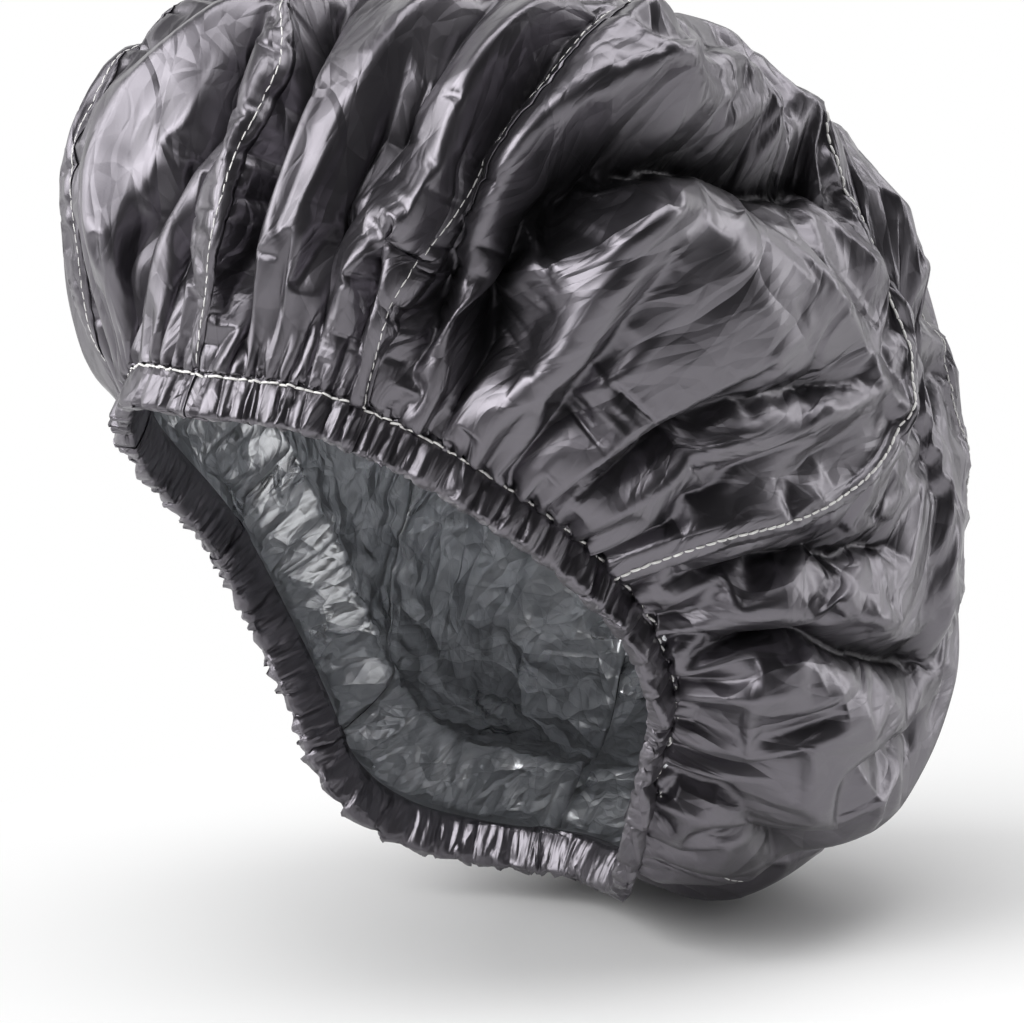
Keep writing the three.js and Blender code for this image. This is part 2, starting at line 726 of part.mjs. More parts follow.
function hemThread() {
  const points = [];
  const normals = [];
  const drop = stitchDrop / hemHeight;
  for (let gore = 0; gore < goreCount; gore += 1) {
    for (const column of rowColumns(rows[stitchedRow], cellsPerGore).slice(0, -1)) {
      const lapped = column <= 1 ? lapLift : lapRise(column);
      const [upper, lower] = [stitchedRow, stitchedRow + 1].map((row) => (
        gridPoint(gore, row, column).clone().addScaledVector(gridNormal(gore, row, column), lapped)
      ));
      const turn = columnTurn(gore, column, 1);
      points.push(upper.lerp(lower, drop));
      normals.push(spineNormal(turn, -hemHeight / 2));
    }
  }
  return threadSolid(points, normals, true);
}

// Thread along the middle of a lap, from below the crown tack to the hem's stitched row.
function seamThread(gore) {
  const points = [];
  const normals = [];
  for (let row = 1; row < stitchedRow; row += 1) {
    const normal = gridNormal(gore, row, 0.5);
    points.push(gridPoint(gore, row, 0.5).clone().addScaledVector(normal, lapLift));
    normals.push(normal);
  }
  return threadSolid(points, normals, false);
}

function crownRing() {
  const turns = Array.from({ length: goreCount }, (_, gore) => (gore * wholeTurn) / goreCount);
  return turns.map((turn) => [turn, meridian(turn).length - crownOpeningRadius]);
}

function crownPlace() {
  const place = new THREE.Vector3();
  crownRing().forEach(([turn, up]) => place.add(spinePoint(turn, up)));
  return place.divideScalar(goreCount);
}

function crownNormal() {
  const normal = new THREE.Vector3();
  crownRing().forEach(([turn, up]) => normal.add(spineNormal(turn, up)));
  return normal.normalize();
}

function crownTack() {
  const top = legOffset + lapLift + sewnGap;
  const liningLow = -legOffset - liningThickness / 2 - sewnGap;
  const profile = [
    [0, liningLow - tackFlangeHeight],
    [tackFlangeRadius, liningLow - tackFlangeHeight],
    [tackFlangeRadius, liningLow],
    [tackStemRadius, liningLow],
    [tackStemRadius, top],
    [tackRadius, top],
    [tackRadius, top + tackEdgeHeight],
    [tackRadius * tackShoulderRadiusShare, top + tackDomeHeight * tackShoulderHeightShare],
    [0, top + tackDomeHeight],
  ].map(([radius, height]) => new THREE.Vector2(radius, height));
  return new THREE.LatheGeometry(profile, 2 * goreCount);
}

const filmMaterial = new THREE.MeshStandardMaterial({ color: 0x0b0b0d, roughness: 0.22, metalness: 0 });
const liningMaterial = new THREE.MeshStandardMaterial({ color: 0xb9bcc0, roughness: 0.35, metalness: 0.8 });
const elasticMaterial = new THREE.MeshStandardMaterial({ color: 0x1b1b1d, roughness: 0.9, metalness: 0 });
const threadMaterial = new THREE.MeshStandardMaterial({ color: 0xe6e4de, roughness: 0.7, metalness: 0 });

const cap = new THREE.Group();

function add(name, geometry, material) {
  const mesh = new THREE.Mesh(geometry, material);
  mesh.name = name;
  cap.add(mesh);
  return mesh;
}

const goreNames = ['front', 'front_left', 'left', 'back_left', 'back', 'back_right', 'right', 'front_right'];

goreNames.forEach((place, gore) => {
  add(`shell_gore_${place}`, filmGore(gore), filmMaterial);
  add(`lining_gore_${place}`, liningGore(gore), liningMaterial);
  add(`seam_thread_${gore + 1}`, seamThread(gore), threadMaterial);
});

add('elastic_band', elasticBand(), elasticMaterial);
add('hem_thread', hemThread(), threadMaterial);

const crown = add('crown_tack', crownTack(), threadMaterial);
crown.position.copy(crownPlace());
crown.quaternion.setFromUnitVectors(new THREE.Vector3(0, 1, 0), crownNormal());

export default cap;
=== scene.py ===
# Bouffant heat cap: eight glossy film gores, a foil-faced lining, and a hem gathered on elastic.
import math
import time

import bpy
import numpy as np
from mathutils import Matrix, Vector


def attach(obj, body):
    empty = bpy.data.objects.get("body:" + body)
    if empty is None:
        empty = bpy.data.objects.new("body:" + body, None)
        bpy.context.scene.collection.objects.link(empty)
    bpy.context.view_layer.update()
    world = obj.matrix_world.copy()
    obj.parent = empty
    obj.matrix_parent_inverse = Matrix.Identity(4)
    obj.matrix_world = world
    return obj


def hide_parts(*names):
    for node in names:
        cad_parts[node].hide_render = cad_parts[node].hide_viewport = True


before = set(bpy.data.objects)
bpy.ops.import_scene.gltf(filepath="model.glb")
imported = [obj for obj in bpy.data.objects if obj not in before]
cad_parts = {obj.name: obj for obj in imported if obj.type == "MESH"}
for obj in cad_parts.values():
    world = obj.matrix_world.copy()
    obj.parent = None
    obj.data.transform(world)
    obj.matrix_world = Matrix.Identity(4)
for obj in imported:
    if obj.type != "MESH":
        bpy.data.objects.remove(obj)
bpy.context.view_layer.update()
mm = 0.001
started = time.time()


def report(stage):
    print(f"{time.time() - started:6.1f} s  {stage}")


report(f"frame loaded, {len(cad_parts)} CAD nodes")

# lengths are in millimetres here, and every mesh is made in metres
cap = {
    "openingHalf": (78, 80, 80),
    "headHalf": (78, 95, 140),
    # degrees round from the front, then shares of the opening's half sizes
    "openingStations": [
        (0, 0, -1, 0.99), (30, 0.5, -0.84, 0.94), (60, 0.87, -0.41, 0.63), (87, 1, 0.13, 0.19),
        (102, 0.98, 0.38, -0.2), (115, 0.86, 0.45, -0.48), (130, 0.74, 0.5, -0.75),
        (145, 0.58, 0.63, -0.91), (160, 0.35, 0.83, -0.99), (180, 0, 0.95, -1),
    ],
    "centre": (0, 50, 42),
    "halfWidth": 108,
    "halfFront": 124,
    "halfBack": 142,
    "halfTop": 137,
    "halfBottom": 176,
    "squareness": 2.35,
    # direction, reach in radians, growth
    "swells": [
        ((0.6, -0.5, 0.62), 0.55, 0.24), ((-0.6, -0.5, 0.62), 0.55, 0.27), ((0, 0.62, 0.78), 0.6, -0.12),
        ((0.55, 0.64, -0.54), 0.5, 0.1), ((-0.55, 0.64, -0.54), 0.5, 0.1),
    ],
    "crownToward": (0, 0.444, 0.896),
    "steepness": 6,
    "crownHole": 4,
    "gores": 8,
    "rowSlopeReach": 0.5,       # half of the turn over which the stitched row's direction is read
    "slopeReach": (0.7, 0.004), # half of the turn and of the share over which the body's slope is read
}

# how finely the smooth curves are measured
tables = {
    "openingStops": 1441,
    "turnStep": 2.0,
    "shares": 201,
    "rawStops": 241,
}

goreNames = ["front", "front_left", "left", "back_left", "back", "back_right", "right", "front_right"]


def unit(vectors):
    return vectors / np.maximum(np.linalg.norm(vectors, axis=-1, keepdims=True), 1e-12)


def smooth(low, high, value):
    t = np.clip((value - low) / (high - low), 0, 1)
    return t * t * (3 - 2 * t)


# smooth curve between two values with the slopes given, read a share t of the way along the span
def hermite(t, span, start, startSlope, end, endSlope):
    return (
        (2 * t**3 - 3 * t**2 + 1) * start
        + (t**3 - 2 * t**2 + t) * span * startSlope
        + (3 * t**2 - 2 * t**3) * end
        + (t**3 - t**2) * span * endSlope
    )


# the stitched row: a smooth closed curve through its stations
leftStations = cap["openingStations"]
rightStations = [(360 - t, -x, y, z) for t, x, y, z in leftStations[-2:0:-1]]
stations = np.array(leftStations + rightStations, float)
stationTurns = stations[:, 0]
stationPoints = stations[:, 1:] * np.array(cap["openingHalf"])
stationCount = len(stations)


def stationSlope(index):
    after, before = (index + 1) % stationCount, (index - 1) % stationCount
    span = (stationTurns[after] - stationTurns[before]) % 360
    return (stationPoints[after] - stationPoints[before]) / span[..., None]


def openingCurve(degrees):
    wrapped = np.asarray(degrees, float) % 360
    index = np.searchsorted(stationTurns, wrapped, side="right") - 1
    after = (index + 1) % stationCount
    span = ((stationTurns[after] - stationTurns[index]) % 360)[..., None]
    t = (wrapped - stationTurns[index])[..., None] / span
    start, end = stationPoints[index], stationPoints[after]
    return hermite(t, span, start, stationSlope(index), end, stationSlope(after))


def runningLength(points):
    steps = np.linalg.norm(np.diff(points, axis=-2), axis=-1)
    return np.concatenate([np.zeros(steps.shape[:-1] + (1,)), np.cumsum(steps, axis=-1)], axis=-1)


openingSteps = np.linspace(0, 360, tables["openingStops"])
openingRun = runningLength(openingCurve(openingSteps))
openingLength = openingRun[-1]


# degrees round from the front are spaced by length along the stitched row
def openingPoint(turn):
    run = (np.asarray(turn, float) % 360) / 360 * openingLength
    return openingCurve(np.interp(run, openingRun, openingSteps))


bodyCentre = np.array(cap["centre"], float)
crownDirection = unit(np.array(cap["crownToward"], float))


def bodyRadius(direction):
    x, y, z = direction[..., 0], direction[..., 1], direction[..., 2]
    depth = np.where(y < 0, cap["halfFront"], cap["halfBack"])
    height = np.where(z > 0, cap["halfTop"], cap["halfBottom"])
    power = cap["squareness"]
    total = np.abs(x / cap["halfWidth"]) ** power + np.abs(y / depth) ** power + np.abs(z / height) ** power
    radius = total ** (-1 / power)
    for toward, reach, growth in cap["swells"]:
        angle = np.arccos(np.clip(direction @ unit(np.array(toward, float)), -1, 1))
        radius = radius * (1 + growth * np.exp(-((angle / reach) ** 2)))
    return radius


# the body swings from the crown to the opening and is drawn in towards the stitched row
def drawnPoint(opening, share):
    arm = opening - bodyCentre
    reach = np.linalg.norm(arm, axis=-1, keepdims=True)
    toward = arm / reach
    swing = np.arccos(np.clip(toward @ crownDirection, -1, 1))[..., None]
    share = np.asarray(share, float)[..., None]
    direction = np.sin((1 - share) * swing) * crownDirection + np.sin(share * swing) * toward
    direction = direction / np.sin(swing)
    draw = share ** cap["steepness"]
    radius = bodyRadius(direction)[..., None] * (1 - draw) + reach * draw
    return bodyCentre + direction * radius


# even shares of the length of each line from the crown's hole to the stitched row
tableTurns = np.arange(0, 361, tables["turnStep"])
tableShares = np.linspace(0, 1, tables["shares"])
rawSteps = np.linspace(0, 1, tables["rawStops"])
tableRun = runningLength(drawnPoint(openingPoint(tableTurns)[:, None], rawSteps[None, :]))
tableLength = tableRun[:, -1]
rawTable = np.array([
    np.interp(length - (1 - tableShares) * (length - cap["crownHole"]), run, rawSteps)
    for length, run in zip(tableLength, tableRun)
])


def lineLength(turn):
    return np.interp(np.asarray(turn, float) % 360, tableTurns, tableLength) - cap["crownHole"]


def bodyPoint(turn, share):
    turn, share = np.broadcast_arrays(np.asarray(turn, float), np.asarray(share, float))
    column = (turn % 360) / tables["turnStep"]
    row = np.clip(share, 0, 1) * (len(tableShares) - 1)
    c, r = np.floor(column).astype(int), np.minimum(np.floor(row).astype(int), len(tableShares) - 2)
    fc, fr = column - c, row - r
    upper = rawTable[c, r] * (1 - fr) + rawTable[c, r + 1] * fr
    after = (c + 1) % (len(tableTurns) - 1)
    lower = rawTable[after, r] * (1 - fr) + rawTable[after, r + 1] * fr
    return drawnPoint(openingPoint(turn), upper * (1 - fc) + lower * fc)


# seams: share of the way from the crown to the stitched row, then degrees round from the front
seamRoutes = [
    [(0, -10), (0.35, -9), (0.52, -9), (0.65, 0), (0.8, 2), (1, -2)],
    [(0, 38), (0.25, 46), (0.43, 48), (0.6, 41), (0.75, 35), (1, 27)],
    [(0, 80), (0.25, 82), (0.36, 98), (0.46, 116), (0.6, 115), (0.76, 101), (0.86, 89), (1, 79)],
    [(0, 125), (0.35, 140), (0.5, 156), (0.7, 160), (0.85, 155), (1, 143)],
    [(0, 172), (0.5, 196), (0.75, 194), (1, 186)],
    [(0, 215), (0.5, 230), (1, 228)],
    [(0, 262), (0.5, 264), (1, 270)],
    [(0, 305), (0.5, 314), (0.7, 322), (1, 313)],
]


# smooth curve through the route's points, read at the shares given
def routeTurn(route, share):
    x, y = np.array(route, float).T
    slopes = np.gradient(y, x)
    i = np.clip(np.searchsorted(x, share, side="right") - 1, 0, len(x) - 2)
    span = x[i + 1] - x[i]
    t = (share - x[i]) / span
    return hermite(t, span, y[i], slopes[i], y[i + 1], slopes[i + 1])


# place counts gores: 2.5 is the middle of the third one
def placeTurn(place, share):
    place, share = np.broadcast_arrays(np.asarray(place, float), np.asarray(share, float))
    lap = np.floor(place / cap["gores"])
    gore = np.floor(place - lap * cap["gores"]).astype(int)
    within = place - np.floor(place)
    lines = np.stack([routeTurn(route, share) for route in seamRoutes])
    lines = np.concatenate([lines, lines[:1] + 360])
    start = np.take_along_axis(lines, gore[None], 0)[0]
    end = np.take_along_axis(lines, gore[None] + 1, 0)[0]
    return start + (end - start) * within + lap * 360


# main folds: height and half width in millimetres (a valley is minus), lean (how much steeper the side is
# on the left hand of the route), and the route as degrees round from the front and share of the way from
# the crown to the stitched row
foldRoutes = [
    # front right of the wearer
    (9, 19, 0.45, [(-20, 0.48), (-22, 0.62), (-28, 0.72), (-27, 0.8), (-21, 0.92)]),
    (-19, 10, 0, [(-13, 0.54), (-10, 0.69), (-13, 0.78), (-17, 0.86), (-20, 0.95)]),
    (4, 6, 0, [(-8, 0.7), (-12, 0.82), (-15, 0.92)]),
    (-9, 8, 0, [(-6, 0.6), (-5, 0.75), (-7, 0.86), (-5, 0.97)]),
    (11, 13, 0.5, [(-8, 0.42), (-2, 0.62), (2, 0.74), (2, 0.86), (1, 0.97)]),
    (-22, 6.5, 0, [(1, 0.52), (7, 0.7), (8, 0.8), (7, 0.88), (7, 0.98)]),
    (5, 5, 0.3, [(12, 0.6), (13, 0.72), (12.5, 0.84), (11.5, 0.96)]),
    (10, 17, 0.6, [(26, 0.42), (20, 0.63), (17, 0.76), (16, 0.86), (15, 0.95)]),
    (-8, 7, 0, [(20, 0.8), (20, 0.89), (19, 0.98)]),
    (-7, 9, 0, [(31, 0.5), (28, 0.62), (24, 0.73)]),
    (6, 7, 0.3, [(32, 0.76), (27, 0.83), (24, 0.9), (23, 0.97)]),
    (-8, 7, 0, [(30, 0.8), (29, 0.88), (28, 0.97)]),
    # left front, on both sides of the seam there
    (10, 15, 0.65, [(46, 0.42), (36, 0.63), (34, 0.73), (32, 0.84), (31, 0.95)]),
    (-16, 8, 0, [(48, 0.48), (42, 0.62), (39, 0.73), (37, 0.84), (36, 0.96)]),
    (6, 8, 0, [(41, 0.82), (41, 0.9), (40, 0.98)]),
    (7, 12, -0.5, [(60, 0.36), (51, 0.48), (46, 0.58)]),
    (6, 7, 0.3, [(48, 0.47), (57, 0.45), (60, 0.49), (56, 0.54)]),
    # deep sweep over the left side and the ridges that leave it
    (-25, 25, -0.35, [
        (106, 0.38), (93, 0.41), (80, 0.46), (66, 0.53), (54, 0.63), (47, 0.73), (45, 0.84), (45, 0.96),
    ]),
    (9, 12, -0.6, [(84, 0.42), (79, 0.36), (70, 0.37), (62, 0.46), (52, 0.57), (43, 0.68), (39, 0.78)]),
    (6, 9, 0, [(60, 0.3), (74, 0.28), (92, 0.33), (106, 0.4)]),
    (7, 6, 0.3, [(49, 0.68), (49, 0.74), (53, 0.77), (57, 0.72), (64, 0.61)]),
    (4, 5, 0, [(60, 0.71), (66, 0.62)]),
    (8, 10, -0.45, [(68, 0.58), (61, 0.69), (57, 0.78), (56, 0.86), (55, 0.97)]),
    (-8, 9, 0, [(69, 0.66), (64, 0.78), (62, 0.88), (61, 0.98)]),
    (5, 8, 0, [(84, 0.57), (98, 0.57), (110, 0.57), (119, 0.55)]),
    (-5, 8, 0, [(80, 0.54), (94, 0.53), (108, 0.51)]),
    (5, 8, 0, [(97, 0.44), (104, 0.46), (112, 0.46)]),
    (-7, 7, 0, [(106, 0.6), (94, 0.67), (83, 0.76), (76, 0.85), (69, 0.97)]),
    (9, 14, -0.55, [(112, 0.58), (103, 0.63), (88, 0.75), (79, 0.84), (73, 0.97)]),
    (-6, 7, 0, [(72, 0.82), (82, 0.83), (87, 0.8)]),
    (7, 12, -0.3, [(120, 0.42), (120, 0.54), (113, 0.65), (100, 0.77), (88, 0.88), (82, 0.97)]),
    (-11, 9, -0.3, [(130, 0.62), (116, 0.72), (101, 0.84), (90, 0.96)]),
    (8, 12, 0, [(135, 0.67), (112, 0.82), (97, 0.92)]),
    (-16, 12, 0, [(148, 0.63), (140, 0.69), (130, 0.74), (113, 0.84), (100, 0.97)]),
    (-9, 8, 0, [(150, 0.69), (144, 0.75), (138, 0.8)]),
    (5, 9, 0.4, [(153, 0.73), (149, 0.78), (141, 0.83), (135, 0.86)]),
    (-14, 14, 0, [(152, 0.85), (139, 0.89), (124, 0.93), (117, 0.98)]),
    (6, 9, 0, [(112, 0.28), (126, 0.34), (139, 0.37), (151, 0.4)]),
    (-6, 9, 0, [(104, 0.36), (122, 0.4), (140, 0.44), (150, 0.5)]),
    (6, 10, 0, [(123, 0.42), (139, 0.48), (144, 0.58), (147, 0.66)]),
    # back
    (-10, 18, 0, [(176, 0.5), (170, 0.66), (160, 0.78), (154, 0.9)]),
    (6, 17, 0.3, [(190, 0.4), (186, 0.58), (183, 0.74), (181, 0.86)]),
    (-12, 16, 0, [(204, 0.45), (206, 0.65), (201, 0.85), (197, 0.98)]),
    (8, 13, 0, [(228, 0.4), (226, 0.65), (221, 0.95)]),
    (-14, 18, 0, [(246, 0.36), (240, 0.6), (238, 0.8), (232, 0.98)]),
    (5, 10, 0, [(200, 0.5), (214, 0.56), (230, 0.55)]),
    (-6, 10, 0, [(152, 0.58), (166, 0.6), (184, 0.56)]),
    # right of the wearer
    (9, 16, -0.3, [(262, 0.35), (260, 0.6), (266, 0.95)]),
    (-12, 16, 0, [(274, 0.45), (276, 0.65), (282, 0.85), (280, 0.98)]),
    (8, 13, 0.3, [(292, 0.5), (296, 0.72), (297, 0.96)]),
    (-12, 13, 0, [(304, 0.5), (310, 0.7), (307, 0.97)]),
    (6, 10, 0, [(314, 0.4), (321, 0.66), (314, 0.95)]),
    (6, 10, 0, [(252, 0.7), (268, 0.66), (284, 0.6)]),
]

# swollen and sunk panels: height, radius, place
panels = [
    (7.5, 44, (82, 0.64)), (9.7, 43, (126, 0.85)), (6.5, 36, (-16, 0.93)), (-7, 24, (27, 0.74)),
    (6, 30, (51, 0.56)), (-5, 12, (54, 0.71)), (-8.6, 32, (140, 0.42)), (6.5, 43, (184, 0.75)),
    (6.5, 43, (250, 0.6)), (-6.5, 32, (220, 0.45)), (-6.5, 40, (147, 0.63)), (6.5, 38, (172, 0.92)),
    (-7, 34, (-40, 0.58)), (-4, 26, (-24, 0.5)), (-7, 26, (78, 0.78)), (-5, 22, (96, 0.72)),
]

# places where the film is bunched, or drawn taut with a minus: radius, extra size of the cut, place
bunches = [
    (13, 0.16, (0, 0.79)), (12, 0.2, (55, 0.49)), (14, 0.2, (97, 0.42)), (16, 0.14, (69, 0.84)),
    (13, 0.18, (147, 0.78)), (12, 0.14, (30, 0.86)), (16, 0.12, (-41, 0.66)), (14, 0.14, (118, 0.93)),
    (16, 0.14, (200, 0.8)), (16, 0.14, (262, 0.5)), (14, 0.12, (300, 0.66)),
    (24, -0.04, (-20, 0.8)), (26, -0.04, (-24, 0.64)), (30, -0.035, (84, 0.6)), (24, -0.04, (72, 0.68)),
    (22, -0.04, (18, 0.64)), (20, -0.04, (34, 0.62)), (24, -0.03, (128, 0.84)),
    (44, -0.05, (186, 0.74)), (44, -0.05, (216, 0.58)), (42, -0.045, (250, 0.6)), (36, -0.035, (300, 0.6)),
    (34, -0.045, (168, 0.56)), (34, -0.04, (190, 0.42)), (34, -0.035, (230, 0.38)),
]

film = {
    "seed": 7,
    "columns": (24, 48, 96),    # columns of a gore, from the coarse grid to the fine one
    "rows": (60, 119, 237),
    "steps": (260, 320, 260),
    "rowCrowding": 1.25,        # more than 1 sets the rows closer near the hem
    "thickness": 0.25,
    "held": (0.3, 9),           # the film is held this near the stitched row and the crown
    "foldPower": 1.3,           # more than 1 draws a fold's crest out sharper
    "foldRun": ((-0.1, 0.25), (0.9, 1.1)), # shares of its route over which a fold rises and fades
    "foldEnd": (8, 44),         # the main folds fade between these lengths above the stitched row
    "foldStart": (14, 46),      # and between these lengths from the crown
    "growth": (0.08, 0.042),    # how much larger the cut film is than its form, round it and down it
    "growthShares": (0.4, 0.62, 0.85), # of that growth on each grid, the finer the smaller its wrinkles
    "growthReach": (16, 60),    # lengths from the crown over which the growth sets in
    "smoothing": (1, 2, 6),     # rounds of smoothing of the folds' crests on each grid
    "tuck": 1.5,                # how far the form stands in, as the air pushes the film out again
    "gatherGrowth": 0.3,        # more width where the film is gathered at the hem
    "gatherReach": 38,
    "seamWidth": 1.6,
    "puckerReach": 9,
    "pucker": 0.07,
    "noise": 0.8,
    "slowing": 0.9,
    "push": 0.004,              # outward push of the air inside, in millimetres a step
    "hold": 0.007,
    "crease": 0.03,             # bend, as a share of the grid's step, past which the film creases
    "stiffness": 0.13,
    "cap": 9,                   # the furthest that the film may move from its form
    "foldReach": 14,            # columns and rows over which a fold's depth is measured
    "foldShade": (1.2, 8),      # depth at which the gloss begins to fade as painted shade in the folds, and how much deeper it is gone
}


def gridNormals(points):
    around = np.roll(points, -1, 0) - np.roll(points, 1, 0)
    return unit(np.cross(np.gradient(points, axis=1), around))


# outward normal of the smooth body
def bodyNormal(turn, share):
    turn, share = np.broadcast_arrays(np.asarray(turn, float), np.asarray(share, float))
    turnReach, shareReach = cap["slopeReach"]
    low, high = np.clip(share - shareReach, 0, 1), np.clip(share + shareReach, 0, 1)
    down = bodyPoint(turn, high) - bodyPoint(turn, low)
    along = bodyPoint(turn + turnReach, share) - bodyPoint(turn - turnReach, share)
    return unit(np.cross(along, -down))


# point of the stitched row, the way down the hem, and the way out from the head
def hemFrame(turn):
    point = openingPoint(turn)
    reach = cap["rowSlopeReach"]
    along = unit(openingPoint(turn + reach) - openingPoint(turn - reach))
    outward = point / np.array(cap["headHalf"], float) ** 2
    outward = unit(outward - along * np.sum(outward * along, axis=-1, keepdims=True))
    return point, np.cross(along, outward), outward


# fine line through a route of places on the body
def routeLine(route, count=28):
    turns, shares = np.array(route, float).T
    along = np.linspace(0, len(route) - 1, count)
    knots = np.arange(len(route))
    if len(route) > 2:
        turns = routeTurn(list(zip(knots, turns)), along)
        shares = routeTurn(list(zip(knots, shares)), along)
    else:
        turns, shares = np.interp(along, knots, turns), np.interp(along, knots, shares)
    return bodyPoint(turns, shares)


# how far one fold raises the film at the points, falling off to both sides and towards its ends
def foldRise(points, normals, height, width, lean, line):
    flat = points.reshape(-1, 3)
    rise = np.zeros(len(flat))
    reach = width * (1 + abs(lean))
    near = np.all((flat > line.min(0) - reach) & (flat < line.max(0) + reach), axis=1)
    if not near.any():
        return rise.reshape(points.shape[:-1])
    chosen = flat[near]
    outward = normals.reshape(-1, 3)[near]
    best = np.full(len(chosen), 1e9)
    along = np.zeros(len(chosen))
    leftHand = np.zeros(len(chosen))
    run = runningLength(line)
    for i in range(len(line) - 1):
        step = line[i + 1] - line[i]
        length = np.linalg.norm(step)
        t = np.clip((chosen - line[i]) @ step / length**2, 0, 1)
        offset = chosen - line[i] - t[:, None] * step
        distance = np.linalg.norm(offset, axis=1)
        closer = distance < best
        best = np.where(closer, distance, best)
        along = np.where(closer, run[i] + t * length, along)
        beside = np.sum(np.cross(step / length, offset) * outward, axis=1) / np.maximum(distance, 1e-6)
        leftHand = np.where(closer, beside, leftHand)
    share = along / run[-1]
    side = np.clip(1 - best / (width * (1 - lean * leftHand)), 0, 1)
    rising, fading = film["foldRun"]
    rise[near] = height * side ** film["foldPower"] * smooth(*rising, share) * (1 - smooth(*fading, share))
    return rise.reshape(points.shape[:-1])


hem = {
    "height": 13,
    "legOffset": 1.4,           # how far each leg of the casing stands from its middle layer
    "legStops": (11, 9),        # rows of the outer leg and of the inner one
    "bendStops": (0.5, 1.05, 1.57, 2.1, 2.64), # and of the bend between them, in radians
    "turning": 4,               # length of the inner leg above the stitched row
    "mitre": (0.985, 0.6),      # share of the way down where the body's slope is read, and least lean
    "blend": 7,                 # length over which the way out turns from the hem's into the body's
    "pleats": 104,
    "pleatSpread": 0.9,
    "pleatHeight": (0.9, 2.4),  # at the stitched row and at the bottom edge
    "pleatReach": (5, 22),      # shortest and longest run of a pleat above the stitched row
    "pleatScale": (0.45, 1.35), # least and most of that height that a pleat has
    "pleatSkew": 0.5,           # how far a pleat's crest drifts to a side on its way round the edge
    "pleatCrest": (0.15, 0.85), # and the shares of its width that the crest stays between
    "pleatPower": 0.8,
    "pleatSwell": (0.8, 5),     # what a pleat gains just above the stitched row, and within what length
    "pleatFade": 0.2,           # share of a pleat's run at which it begins to fade
    "innerPleat": 0.35,         # height of a pleat on the inner leg, as a share of the outer one's
    "scallop": 0.9,             # how much lower the edge hangs at a pleat's crest
    "scallopMiddle": 0.6,       # height of a pleat, from 0 to 1, where it hangs neither lower nor higher
    "scallopStart": 0.35,       # share of the hem's height at which this begins
    "lapColumns": 5,
    "lapLift": 0.5,
    "growth": (0.12, 0.02),
    "noise": 0.25,
    "heldRows": 3,              # rows of the inner leg that are held
    "leastGap": 0.8,
    "wrinkleReach": 48,         # how far fine wrinkles run up from the hem
}

pleatRandom = np.random.default_rng(31)
pleatWidths = 1 + hem["pleatSpread"] * pleatRandom.uniform(-1, 1, hem["pleats"])
pleatEdges = np.concatenate([[0], np.cumsum(pleatWidths)]) / pleatWidths.sum() * cap["gores"]
pleatScale = pleatRandom.uniform(*hem["pleatScale"], hem["pleats"])
pleatSkew = pleatRandom.uniform(-hem["pleatSkew"], hem["pleatSkew"], hem["pleats"])
pleatRun = pleatRandom.uniform(*hem["pleatReach"], hem["pleats"])


# height of a pleat from 0 in its valleys to its own scale at its crest
def pleatShape(places, drift):
    phase = np.interp(places % cap["gores"], pleatEdges, np.arange(hem["pleats"] + 1.0))
    index = np.floor(phase).astype(int) % hem["pleats"]
    phase = phase - np.floor(phase)
    crest = np.clip(0.5 + drift * pleatSkew[index], *hem["pleatCrest"])
    side = np.where(phase < crest, phase / crest, (1 - phase) / (1 - crest))
    return side ** hem["pleatPower"] * pleatScale[index], index


# way out where the film turns from the body down into the hem, lengthened to keep its distance
def hemMitre(turn):
    _, _, outward = hemFrame(turn)
    share, least = hem["mitre"]
    mitre = unit(outward + bodyNormal(turn, share))
    return mitre / np.maximum(np.sum(mitre * outward, axis=-1, keepdims=True), least)


# one round of smoothing with the neighbours in both directions
def smoothed(values):
    values = (np.roll(values, 1, 0) + 2 * values + np.roll(values, -1, 0)) / 4
    ends = np.concatenate([values[:, :1], values, values[:, -1:]], axis=1)
    return (ends[:, :-2] + 2 * values + ends[:, 2:]) / 4


# shares of the way down at which the rows lie
def rowShares(rows, crowding):
    return 1 - np.linspace(1, 0, rows) ** crowding


finest = len(film["steps"]) - 1


# the film's form before it settles: the body with its main folds, and pleats at the stitched row
def foldedFilm(level):
    places = np.arange(cap["gores"] * film["columns"][level]) / film["columns"][level]
    shares = rowShares(film["rows"][level], film["rowCrowding"])
    turns = placeTurn(places[:, None], shares[None, :])
    points = bodyPoint(turns, shares[None, :])
    normals = bodyNormal(turns, shares[None, :])
    length = lineLength(turns)
    up = (1 - shares) * length
    rise = np.zeros(turns.shape)
    for height, width, lean, route in foldRoutes:
        rise += foldRise(points, normals, height, width, lean, routeLine(route))
    for height, radius, place in panels:
        centre = bodyPoint(*place)
        rise += height * np.exp(-np.sum((points - centre) ** 2, axis=-1) / radius**2)
    for _ in range(film["smoothing"][level]):
        rise = smoothed(rise)
    rise = (rise - film["tuck"]) * smooth(*film["foldEnd"], up) * smooth(*film["foldStart"], shares * length)
    rise += hem["legOffset"]
    if level == finest:
        shape, index = pleatShape(places[:, None], 0)
        swell, reach = hem["pleatSwell"]
        swell = 1 + swell * smooth(0, reach, up)
        fade = smooth(hem["pleatFade"], 1, up / pleatRun[index])
        rise += hem["pleatHeight"][0] * shape * swell * (1 - fade)
    near = smooth(0, hem["blend"], up)[..., None]
    ways = hemMitre(turns) * (1 - near) + normals * near
    return points + ways * rise[..., None], up, length


